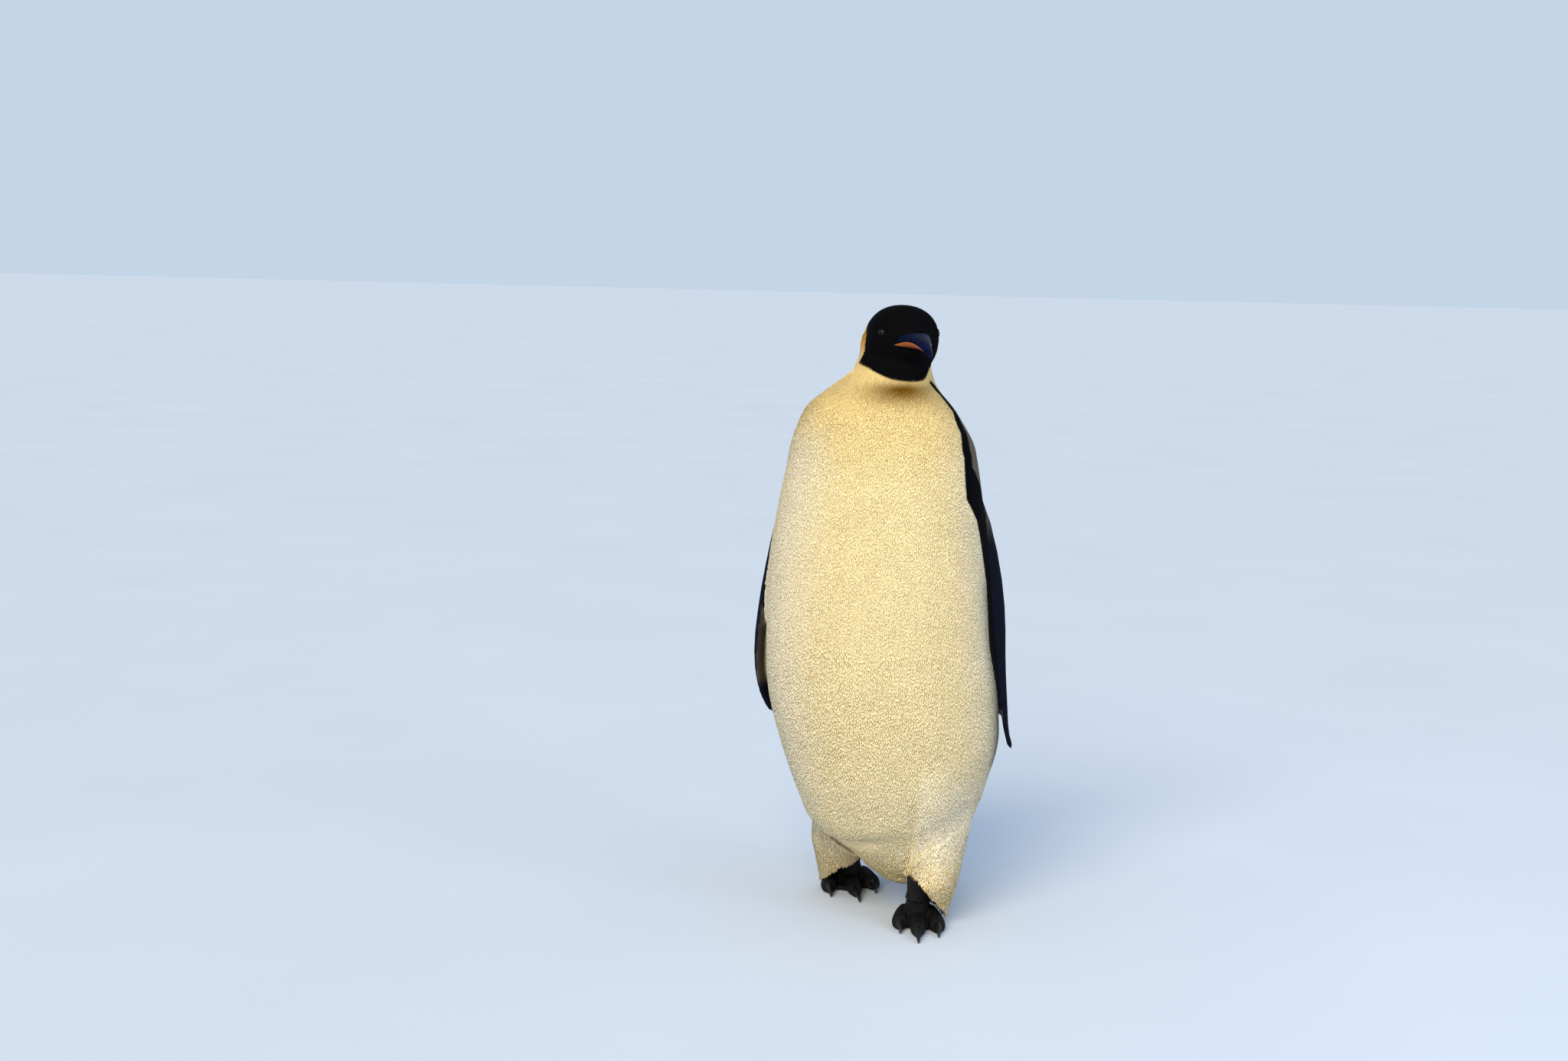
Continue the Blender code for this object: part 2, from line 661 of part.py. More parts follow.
def foot(label, tarsus, yaw, foot_side):
    """Make one webbed foot with its flat sole, and its three claws."""
    frame = foot_frame(tarsus, yaw)
    body = tarsus_solid(frame)
    body.name = body.data.name = "foot_" + label
    pieces = [web_solid(frame, foot_side)] + [toe_solid(toe, frame, foot_side) for toe in TOES]
    for piece in pieces:
        combine(body, piece, "UNION")
    for toe in TOES:
        cut_back(claw_solid(f"claw_{label}_{toe.name}", toe, frame, foot_side), body)
    return body


def part_leg_from_foot(leg_piece, foot_piece, tarsus, hem, side):
    """Part a feathered leg from its bare foot along the slope of the feather hem."""
    height, inward, forward = hem
    normal = Vector((side * inward, forward, 1.0))
    point = tarsus + Vector((0, 0, height))
    crop(leg_piece, point, -normal)
    crop(foot_piece, point, normal)


def bill_row(place):
    """Return the bill's culmen, cutting edge, underside and half width at one place."""
    return along(BILL_RINGS, [place])[0]


def bill_half(name, places, edges, finish):
    """Make one half of the bill between its two lines, rounded away from the cutting edge."""
    frame = head_frame()
    rings = []
    for place in places:
        _, _, _, half_width = bill_row(place)
        edge, ridge = edges(place)
        ring = []
        for k in range(BILL_SEGMENTS):
            angle = 2 * math.pi * k / BILL_SEGMENTS
            side = half_width * signed_power(math.cos(angle), BILL_FULLNESS)
            share = (max(math.sin(angle), -BILL_LIP) + BILL_LIP) / (1.0 + BILL_LIP)
            ring.append(frame @ Vector((place, side, edge + (ridge - edge) * share)))
        rings.append(ring)
    return loft(name, rings, finish)


def upper_bill():
    """Make the upper half of the bill, which bends down to the tip."""
    places = eased(BILL_RINGS[0][0], BILL_RINGS[-1][0], BILL_LEVELS, round_start=False)

    def edges(place):
        culmen, cutting, _, _ = bill_row(place)
        return cutting + GAP / 2, culmen

    return bill_half("bill_upper", places, edges, HORN)


def lower_bill():
    """Make the lower half of the bill, which stops just short of the hooked tip."""
    places = eased(BILL_RINGS[0][0], BILL_RINGS[-1][0], BILL_LEVELS, round_start=False)[:-1]

    def edges(place):
        _, cutting, underside, _ = bill_row(place)
        return cutting - GAP / 2, underside

    return bill_half("bill_lower", places, edges, HORN)


def bill_plate(name, side):
    """Make the long coloured plate on one side of the lower half of the bill."""
    frame = head_frame()
    start, end = PLATE_SPAN
    rings = []
    for level in range(PLATE_LEVELS + 1):
        share = level / PLATE_LEVELS
        place = start + (end - start) * share
        _, cutting, underside, half_width = bill_row(place)
        swell = math.sin(math.pi * share) ** PLATE_SWELL
        depth = max((cutting - underside) * PLATE_SHARE * swell, PLATE_END_DEPTH)
        top = cutting - PLATE_DROP
        inner = half_width + FIT_GAP
        outer = inner + max(PLATE_THICKNESS * swell, PLATE_EDGE)
        drop = PLATE_TUCK * depth
        ring = [
            Vector((place, side * (inner - PLATE_BULGE), top)),
            Vector((place, side * (outer - PLATE_BULGE), top)),
            Vector((place, side * outer, top - 0.5 * depth)),
            Vector((place, side * (outer - drop), top - depth)),
            Vector((place, side * (inner - drop), top - depth)),
            Vector((place, side * inner, top - 0.5 * depth)),
        ]
        rings.append([frame @ point for point in ring])
    return loft(name, rings, PLATE)


def eye(name, side):
    """Make one eyeball, set into the side of the head."""
    frame = head_frame()
    half_width, up, down = along(HEAD_RINGS, [EYE_FORWARD])[0]
    middle, half_height = (up - down) / 2, (up + down) / 2
    sine = (EYE_UP - middle) / half_height
    surface = Vector((EYE_FORWARD, side * half_width * math.sqrt(1 - sine**2), EYE_UP))
    ahead, _, _ = along(HEAD_RINGS, [EYE_FORWARD + EYE_STEP])[0]
    taper = (half_width - ahead) / EYE_STEP
    normal = Vector((
        taper,
        side * math.sqrt(1 - sine**2) / half_width * half_height,
        sine,
    )).normalized()
    centre = frame @ (surface - normal * (EYE_RADIUS - EYE_PROUD))
    mesh = bmesh.new()
    bmesh.ops.create_icosphere(mesh, subdivisions=2, radius=EYE_RADIUS)
    bmesh.ops.translate(mesh, verts=mesh.verts, vec=centre)
    return finished(name, mesh, EYE)


def settle(objects):
    """Move everything so that the origin is under the middle of the bird's box."""
    corners = [v.co for obj in objects for v in obj.data.vertices]
    low = Vector(min(c[i] for c in corners) for i in range(3))
    high = Vector(max(c[i] for c in corners) for i in range(3))
    shift = Vector((-(low.x + high.x) / 2, -(low.y + high.y) / 2, -low.z))
    for obj in objects:
        obj.data.transform(Matrix.Translation(shift))


def build():
    """Build the whole bird."""
    clear_scene()
    body, tail = trunk_and_tail()
    head, neck = part_head_from_neck()

    flippers = (flipper("flipper_left", LEFT_FLIPPER), flipper("flipper_right", RIGHT_FLIPPER))
    for piece in flippers:
        cut_back(piece, body)

    for label, stations, tarsus, yaw, hem, foot_side in (
        ("left", LEFT_LEG, LEFT_TARSUS, LEFT_FOOT_YAW, LEFT_HEM, (1.0, LEFT_SPLAY)),
        ("right", RIGHT_LEG, RIGHT_TARSUS, RIGHT_FOOT_YAW, RIGHT_HEM, (-1.0, RIGHT_SPLAY)),
    ):
        leg_piece = leg("leg_" + label, stations)
        foot_piece = foot(label, tarsus, yaw, foot_side)
        part_leg_from_foot(leg_piece, foot_piece, tarsus, hem, foot_side[0])
        cut_back(cut_back(leg_piece, body), tail)

    upper, lower = upper_bill(), lower_bill()
    for piece in (upper, lower):
        cut_back(piece, head)
    for label, side in (("left", 1.0), ("right", -1.0)):
        cut_back(cut_back(bill_plate("bill_plate_" + label, side), lower), head)
        ball = eye("eye_" + label, side)
        cut_back(head, ball)

    settle([obj for obj in bpy.data.objects if not obj.hide_render])


build()
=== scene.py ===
"""Emperor penguin in mid stride: the looks of a life-size still model.

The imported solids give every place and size.  One skin is made from the solids of the flesh, drawn
in by the depth of the coat, and feather vanes are laid over it along the lie of the plumage.  The
bill, its plates, the eyes and the claws are pieces of their own.  The bird faces -Y and its left
side is +X.  Lengths are metres and angles are degrees unless a name says otherwise.
"""

import logging
import math
from dataclasses import dataclass, field
from enum import Enum
from functools import partial

import bmesh
import bpy
import numpy as np
from bpy.types import Material, Mesh, Node, NodeSocket, NodeTree, Object
from mathutils import Matrix, Vector
from mathutils.bvhtree import BVHTree
from mathutils.kdtree import KDTree


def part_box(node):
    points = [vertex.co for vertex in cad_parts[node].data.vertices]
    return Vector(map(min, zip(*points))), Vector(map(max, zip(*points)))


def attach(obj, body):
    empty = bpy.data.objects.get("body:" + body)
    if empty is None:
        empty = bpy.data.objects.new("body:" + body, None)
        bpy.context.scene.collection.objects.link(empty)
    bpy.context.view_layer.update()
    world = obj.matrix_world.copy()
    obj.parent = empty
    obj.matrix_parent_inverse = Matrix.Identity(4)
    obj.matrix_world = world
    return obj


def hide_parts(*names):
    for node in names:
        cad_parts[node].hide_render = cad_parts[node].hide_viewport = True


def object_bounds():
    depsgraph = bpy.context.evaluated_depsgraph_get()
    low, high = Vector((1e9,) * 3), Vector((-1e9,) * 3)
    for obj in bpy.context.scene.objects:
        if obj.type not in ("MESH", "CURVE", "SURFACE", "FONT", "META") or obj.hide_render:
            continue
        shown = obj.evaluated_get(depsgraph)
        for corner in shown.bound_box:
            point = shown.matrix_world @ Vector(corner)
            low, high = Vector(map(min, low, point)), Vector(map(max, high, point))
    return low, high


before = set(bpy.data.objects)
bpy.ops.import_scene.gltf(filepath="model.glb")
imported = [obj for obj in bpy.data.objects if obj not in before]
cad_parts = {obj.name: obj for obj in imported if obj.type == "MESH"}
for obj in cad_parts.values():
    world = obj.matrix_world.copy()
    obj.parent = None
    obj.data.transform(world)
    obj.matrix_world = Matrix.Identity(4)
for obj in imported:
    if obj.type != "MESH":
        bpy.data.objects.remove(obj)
CAD_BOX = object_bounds()
LOG = logging.getLogger("penguin")
Array = np.ndarray

DOWN = np.array([0.0, 0.0, -1.0])
BACKWARD = np.array([0.0, 1.0, 0.0])
TINY = 1e-9
SAME_PLACE = 1e-6  # corners of loose triangles nearer than this are one
BAKE_MAP = "OFBake"
BAKE_PATCH = 0.003  # width of one vane's patch in the bake map
BLACK_MARK = (1.0, 0.0, 0.0)
SIDES = {"left": 1.0, "right": -1.0}


class Zone(Enum):
    """Stretches of plumage, each with its own size and lie of feathers."""

    FACE = "face"
    HOOD = "hood"
    NECK = "neck"
    BREAST = "breast"
    BELLY = "belly"
    BACK = "back"
    RUMP = "rump"
    LEG_LEFT = "leg_left"
    LEG_RIGHT = "leg_right"
    FRINGE_LEFT = "fringe_left"
    FRINGE_RIGHT = "fringe_right"
    TAIL = "tail"
    FLIPPER_LEFT = "flipper_left"
    FLIPPER_RIGHT = "flipper_right"
    BARE = "bare"


HEAD_ZONES = (Zone.FACE, Zone.HOOD)
BACK_ZONES = (Zone.BACK, Zone.RUMP)
FRONT_ZONES = (Zone.NECK, Zone.BREAST, Zone.BELLY)
CUFF_ZONES = (Zone.LEG_LEFT, Zone.LEG_RIGHT, Zone.FRINGE_LEFT, Zone.FRINGE_RIGHT)


class RecordSlot(Enum):
    """Names of the record's material slots, one for each kind of new piece."""

    PALE = "plumage_pale"
    YELLOW = "plumage_yellow"
    BLACK = "plumage_black"
    HORN = "horn"
    PLATE = "bill_plate"
    EYE = "eye"


# ----- Small tools -----


def linear(colour: str) -> tuple[float, float, float, float]:
    """Turn an sRGB hex colour into a linear one.

    Args:
        colour: six hex digits after a #.

    Returns:
        Red, green, blue and an alpha of 1.
    """
    parts = [int(colour[i:i + 2], 16) / 255 for i in (1, 3, 5)]
    steps = [p / 12.92 if p <= 0.04045 else ((p + 0.055) / 1.055) ** 2.4 for p in parts]
    return (*steps, 1.0)


def ramp(low: float | Array, high: float | Array, value: Array) -> Array:
    """Rise smoothly from 0 at low to 1 at high, or fall where high is the smaller."""
    share = np.clip((value - low) / (high - low), 0.0, 1.0)
    return share * share * (3.0 - 2.0 * share)


@dataclass(frozen=True)
class Fade:
    """A smooth change from nothing at one value to all of it at another."""

    none: float
    full: float

    def at(self, value: Array) -> Array:
        """Give the share at each value, from 0 to 1."""
        return ramp(self.none, self.full, value)


def past(edge: float | Array, soft: float, value: Array) -> Array:
    """Say how far each value is past an edge, with a softness that is negative for before it."""
    return ramp(edge - soft, edge + soft, value)


def bell(middle: float, half: float | Array, value: Array) -> Array:
    """Rise smoothly to 1 at a middle value and fall again, to 0.37 at the half width."""
    return np.exp(-(((value - middle) / half) ** 2))


def unit(vectors: Array) -> Array:
    """Scale each row to length 1."""
    return vectors / np.maximum(np.linalg.norm(vectors, axis=1, keepdims=True), TINY)


def distance(points: Array, place: Vector) -> Array:
    """Measure how far each point is from one place."""
    return np.linalg.norm(points - np.array(place), axis=1)


def read_table(table: tuple[tuple[float, float], ...], places: Array) -> Array:
    """Read a table of places and values, in any order, at some places, straight between rows."""
    rows = np.array(sorted(table))
    return np.interp(places, rows[:, 0], rows[:, 1])


def numbers(items: object, name: str, width: int = 1, kind: type = float) -> Array:
    """Read one property of every item of a mesh.

    Args:
        items: the items, such as the mesh's vertices.
        name: the property.
        width: how many numbers it has.
        kind: their type.

    Returns:
        One number or one row for each item.
    """
    values = np.empty(len(items) * width, dtype=kind)
    items.foreach_get(name, values)
    return values if width == 1 else values.reshape(-1, width)


def points_of(mesh: Mesh) -> Array:
    """Return a mesh's vertices as rows of numbers."""
    return numbers(mesh.vertices, "co", 3)


def normals_of(mesh: Mesh) -> Array:
    """Return a mesh's vertex normals as rows of numbers."""
    return numbers(mesh.vertex_normals, "vector", 3)


def edges_of(mesh: Mesh) -> Array:
    """Return a mesh's edges as pairs of vertex numbers."""
    return numbers(mesh.edges, "vertices", 2, np.int64)


def corners_of(mesh: Mesh) -> Array:
    """Return the vertex number of each corner of a mesh's faces."""
    return numbers(mesh.loops, "vertex_index", 1, np.int64)


def set_points(mesh: Mesh, points: Array) -> None:
    """Move a mesh's vertices to new places."""
    mesh.vertices.foreach_set("co", points.ravel())
    mesh.update()


def surface_tree(mesh: Mesh) -> BVHTree:
    """Make the tree that finds the nearest place on a mesh."""
    return BVHTree.FromPolygons([v.co for v in mesh.vertices], [p.vertices for p in mesh.polygons])


def averaged(values: Array, edges: Array) -> Array:
    """Give each vertex the mean of its neighbours' values.

    Args:
        values: one number or one row for each vertex.
        edges: pairs of vertex numbers.

    Returns:
        The means, in the shape of the values.
    """
    count = len(values)
    ends = np.concatenate((edges[:, 0], edges[:, 1]))
    others = np.concatenate((edges[:, 1], edges[:, 0]))
    share = 1.0 / np.maximum(np.bincount(ends, minlength=count), 1)
    if values.ndim == 1:
        return np.bincount(ends, weights=values[others], minlength=count) * share
    columns = [np.bincount(ends, weights=column[others], minlength=count) for column in values.T]
    return np.stack(columns, axis=1) * share[:, None]


def relaxed(points: Array, edges: Array, rounds: int) -> Array:
    """Smooth a surface without shrinking it, by steps in and out.

    Args:
        points: the vertices.
        edges: pairs of vertex numbers.
        rounds: pairs of steps.

    Returns:
        The smoothed vertices.
    """
    for _ in range(rounds):
        for step in (0.55, -0.57):
            points = points + step * (averaged(points, edges) - points)
    return points


def evened(points: Array, edges: Array, rounds: int, share: Array) -> Array:
    """Even a surface out and give back what its broad form lost, so that only corners go.

    Args:
        points: the vertices.
        edges: pairs of vertex numbers.
        rounds: smoothing steps.
        share: how far each vertex follows, from 0 to 1, as one column.

    Returns:
        The evened vertices.
    """
    step = 0.7
    smooth = points
    for _ in range(rounds):
        smooth = smooth + step * share * (averaged(smooth, edges) - smooth)
    lost = points - smooth
    for _ in range(rounds):
        lost = lost + step * share * (averaged(lost, edges) - lost)
    return smooth + lost


def blurred(values: Array, edges: Array, rounds: int) -> Array:
    """Spread values over their neighbours so that they change gently.

    Args:
        values: one number or one row for each vertex.
        edges: pairs of vertex numbers.
        rounds: how often they spread.

    Returns:
        The blurred values.
    """
    for _ in range(rounds):
        values = 0.5 * values + 0.5 * averaged(values, edges)
    return values


def new_object(name: str, data: bpy.types.ID) -> Object:
    """Put a mesh, a light or a camera in the scene as an object at the origin.

    Args:
        name: the object's name.
        data: what it shows.

    Returns:
        The object.
    """
    obj = bpy.data.objects.new(name, data)
    bpy.context.scene.collection.objects.link(obj)
    return obj


def mesh_object(name: str, work: bmesh.types.BMesh) -> Object:
    """Turn a mesh under construction into an object and free it.

    Args:
        name: the object's name.
        work: the mesh under construction.

    Returns:
        The object.
    """
    mesh = bpy.data.meshes.new(name)
    work.to_mesh(mesh)
    work.free()
    return new_object(name, mesh)


def drop(obj: Object) -> None:
    """Remove an object and its mesh.

    Args:
        obj: the object.
    """
    mesh = obj.data
    bpy.data.objects.remove(obj, do_unlink=True)
    bpy.data.meshes.remove(mesh)


def settled(obj: Object) -> Object:
    """Turn an object's modifiers into plain mesh.

    Args:
        obj: the object.

    Returns:
        The same object, with the result as its mesh and no modifiers.
    """
    graph = bpy.context.evaluated_depsgraph_get()
    mesh = bpy.data.meshes.new_from_object(obj.evaluated_get(graph))
    old = obj.data
    obj.modifiers.clear()
    obj.data = mesh
    bpy.data.meshes.remove(old)
    return obj


def with_modifier(obj: Object, kind: str, **settings: object) -> Object:
    """Give an object one modifier and turn it into plain mesh at once.

    Args:
        obj: the object.
        kind: the modifier's type.
        settings: its properties.

    Returns:
        The same object.
    """
    modifier = obj.modifiers.new(kind.lower(), kind)
    for name, value in settings.items():
        setattr(modifier, name, value)
    return settled(obj)


def joined_nodes(name: str, nodes: tuple[str, ...], swell: float = 0.0) -> Object:
    """Copy some CAD nodes into one object and close their loose triangles up.

    Args:
        name: the new object's name.
        nodes: names of the CAD nodes.
        swell: how far each node grows, so that neighbours overlap.

    Returns:
        The new object.
    """
    work = bmesh.new()
    for node in nodes:
        part = bmesh.new()
        part.from_mesh(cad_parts[node].data)
        bmesh.ops.remove_doubles(part, verts=part.verts, dist=SAME_PLACE)
        part.normal_update()
        for vert in part.verts:
            vert.co += vert.normal * swell
        grown = bpy.data.meshes.new(node)
        part.to_mesh(grown)
        part.free()
        work.from_mesh(grown)
        bpy.data.meshes.remove(grown)
    obj = mesh_object(name, work)
    obj.data.materials.clear()
    return obj


def remeshed(obj: Object, voxel: float, rounds: int) -> Object:
    """Rebuild an object as one even closed surface and smooth it.

    Args:
        obj: the object.
        voxel: size of its faces.
        rounds: pairs of smoothing steps.

    Returns:
        The same object.
    """
    with_modifier(obj, "REMESH", mode="VOXEL", voxel_size=voxel, adaptivity=0.0)
    mesh = obj.data
    set_points(mesh, relaxed(points_of(mesh), edges_of(mesh), rounds))
    mesh.shade_smooth()
    return obj


def lifted(obj: Object, clearance: float) -> None:
    """Raise the lowest points of a piece, so that none lies under the floor.

    Args:
        obj: the piece.
        clearance: the lowest height that a point may have.
    """
    points = points_of(obj.data)
    points[:, 2] = np.maximum(points[:, 2], clearance)
    set_points(obj.data, points)


def put_in_place(obj: Object, slot: RecordSlot, *nodes: str) -> None:
    """Put a finished piece on the body.

    Args:
        obj: the piece.
        slot: the record's slot that it stands for; not used.
        nodes: the CAD nodes that it stands for.
    """
    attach(obj, "root")
    if nodes:
        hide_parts(*nodes)
    LOG.info("%s: %d faces", obj.name, len(obj.data.polygons))


def set_attribute(mesh: Mesh, name: str, values: Array) -> None:
    """Store one number or one vector for each vertex.

    Args:
        mesh: the mesh.
        name: the attribute's name.
        values: one entry or one row for each vertex.
    """
    vector = values.ndim == 2
    layer = mesh.attributes.get(name)
    if layer is None:
        layer = mesh.attributes.new(name, "FLOAT_VECTOR" if vector else "FLOAT", "POINT")
    layer.data.foreach_set("vector" if vector else "value", np.ascontiguousarray(values).ravel())


def get_attribute(mesh: Mesh, name: str) -> Array:
    """Read one number or one vector for each vertex.

    Args:
        mesh: the mesh.
        name: the attribute's name.

    Returns:
        One entry or one row for each vertex.
    """
    layer = mesh.attributes[name]
    if layer.data_type == "FLOAT_VECTOR":
        return numbers(layer.data, "vector", 3)
    return numbers(layer.data, "value")


def fill_inputs(node: Node, inputs: dict) -> None:
    """Give a node's inputs their values and links.

    Args:
        node: the node.
        inputs: for an input's name or number, a value, the socket it is linked from, or a node
            whose first shown output it is linked from.
    """
    for key, value in inputs.items():
        if isinstance(value, Node):
            value = next(socket for socket in value.outputs if socket.enabled)
        if isinstance(value, NodeSocket):
            node.id_data.links.new(value, node.inputs[key])
        else:
            node.inputs[key].default_value = value


def add_node(tree: NodeTree, kind: str, inputs: dict | None = None, **settings: object) -> Node:
    """Add a node with its settings, its values and the links into it.

    Args:
        tree: the node tree.
        kind: the node's type.
        inputs: for an input's name or number, a value or what it is linked from.
        settings: the node's properties.

    Returns:
        The node.
    """
    node = tree.nodes.new(kind)
    for name, value in settings.items():
        setattr(node, name, value)
    fill_inputs(node, inputs or {})
    return node


def new_material(name: str) -> tuple[Material, partial, Node]:
    """Start a material.

    Args:
        name: its name.

    Returns:
        The material, the function that adds a node to it, and its shader.
    """
    material = bpy.data.materials.new(name)
    material.use_nodes = True
    tree = material.node_tree
    return material, partial(add_node, tree), tree.nodes["Principled BSDF"]


# ----- Where things are -----


@dataclass
class Anatomy:
    """Directions and places of the bird, worked out from the solids."""

    head_pitch: float = 9.0  # the bill points this far below level
    eye_forward: float = 0.0278  # from the head's middle to the line between the eyes
    eye_up: float = 0.0198
    slice_step: float = 0.02  # the trunk's middle is found this often
    slice_reach: float = 1.8  # from a slice this many steps high, up and down
    slice_lowest: float = 0.10
    eye_left: Vector = field(init=False)
    eye_right: Vector = field(init=False)
    left: Array = field(init=False)
    forward: Array = field(init=False)
    ahead: Array = field(init=False)  # forward, but level
    above: Array = field(init=False)
    head_middle: Array = field(init=False)
    axis: Array = field(init=False)

    def __post_init__(self) -> None:
        """Find the head's axes and the trunk's middle line."""
        self.eye_left = self.middle_of("eye_left")
        self.eye_right = self.middle_of("eye_right")
        left = (self.eye_left - self.eye_right).normalized()
        level = left.cross(Vector((0.0, 0.0, 1.0))).normalized()
        pitch = math.radians(self.head_pitch)
        forward = level * math.cos(pitch) - Vector((0, 0, 1)) * math.sin(pitch)
        above = Vector((0, 0, 1)) * math.cos(pitch) + level * math.sin(pitch)
        middle = self.eyes_middle - forward * self.eye_forward - above * self.eye_up
        self.left, self.forward, self.ahead = np.array(left), np.array(forward), np.array(level)
        self.above, self.head_middle = np.array(above), np.array(middle)
        self.axis = self.trunk_axis()

    @staticmethod
    def middle_of(node: str) -> Vector:
        """Return the middle of a CAD node's box."""
        low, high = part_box(node)
        return (Vector(low) + Vector(high)) / 2

    @property
    def eyes_middle(self) -> Vector:
        """Return the point midway between the eyes."""
        return (self.eye_left + self.eye_right) / 2

    def trunk_axis(self) -> Array:
        """Find the middle of the trunk and neck at each level.

        Returns:
            Rows of height, x and y.
        """
        meshes = [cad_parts[node].data for node in ("trunk", "neck")]
        points = np.concatenate([points_of(mesh) for mesh in meshes])
        rows = []
        reach = self.slice_reach * self.slice_step
        for height in np.arange(self.slice_lowest, points[:, 2].max(), self.slice_step):
            near = points[np.abs(points[:, 2] - height) < reach]
            low, high = near.min(axis=0), near.max(axis=0)
            rows.append((height, (low[0] + high[0]) / 2, (low[1] + high[1]) / 2))
        return np.array(rows)

    def on_head(self, points: Array) -> Array:
        """Give points in the head's own frame: forward, to the left, up."""
        return (points - self.head_middle) @ np.stack((self.forward, self.left, self.above), axis=1)

    def from_head(self, forward: float, up: float) -> Array:
        """Give the place that lies this far forward and up on the head."""
        return self.head_middle + self.forward * forward + self.above * up

    def head_turn(self, points: Array) -> Array:
        """Give each point's level angle round the head, from the bill, to the left positive."""
        away = points - self.head_middle
        return np.degrees(np.arctan2(away @ self.left, away @ self.ahead))

    def body_turn(self, points: Array) -> Array:
        """Give each point's level angle round the trunk, from -Y, towards +X positive."""
        middle = [np.interp(points[:, 2], self.axis[:, 0], self.axis[:, k]) for k in (1, 2)]
        return np.degrees(np.arctan2(points[:, 0] - middle[0], middle[1] - points[:, 1]))


# ----- Markings -----


@dataclass
class Blade:
    """The blade of one flipper, measured from its solid in level slices."""

    side: float  # 1 for the left flipper, -1 for the right one
    slices: int = 14
    slice_half: float = 0.036  # half the height of a slice
    low: float = field(init=False)
    high: float = field(init=False)
    heights: Array = field(init=False)
    middles: Array = field(init=False)
    reaches: Array = field(init=False)
    chord: Array = field(init=False)
    tree: BVHTree = field(init=False)

    def __post_init__(self) -> None:
        """Find the blade's middle line, the direction of its chord and its reach along it."""
        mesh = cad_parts["flipper_left" if self.side > 0 else "flipper_right"].data
        points = points_of(mesh)
        self.low, self.high = points[:, 2].min(), points[:, 2].max()
        self.heights = np.linspace(self.low, self.high, self.slices)
        rows = [points[np.abs(points[:, 2] - z) < self.slice_half, :2] for z in self.heights]
        self.middles = np.array([(near.max(axis=0) + near.min(axis=0)) / 2 for near in rows])
        # The chord runs along the blade's widest direction, towards the hind edge
        spread = sum(np.cov((near - near.mean(axis=0)).T) for near in rows)
        widest = np.linalg.eigh(spread)[1][:, 1]
        self.chord = widest * np.sign(widest[1])
        self.reaches = np.array([
            np.abs((near - middle) @ self.chord).max() for near, middle in zip(rows, self.middles)
        ])
        self.tree = surface_tree(mesh)

    def across(self, points: Array) -> Array:
        """Give each point's place along the chord.

        Args:
            points: places on the flipper.

        Returns:
            A number for each point: -1 at the front edge, 1 at the hind edge.
        """
        height = points[:, 2]
        middle = [np.interp(height, self.heights, self.middles[:, k]) for k in (0, 1)]
        off = (points[:, :2] - np.stack(middle, axis=1)) @ self.chord
        return off / np.interp(height, self.heights, self.reaches)

    def inward(self, points: Array) -> Array:
        """Say how far each point's nearest face looks towards the trunk, from -1 to 1."""
        facing = [self.tree.find_nearest(Vector(point))[1].x for point in points]
        return -np.array(facing) * self.side


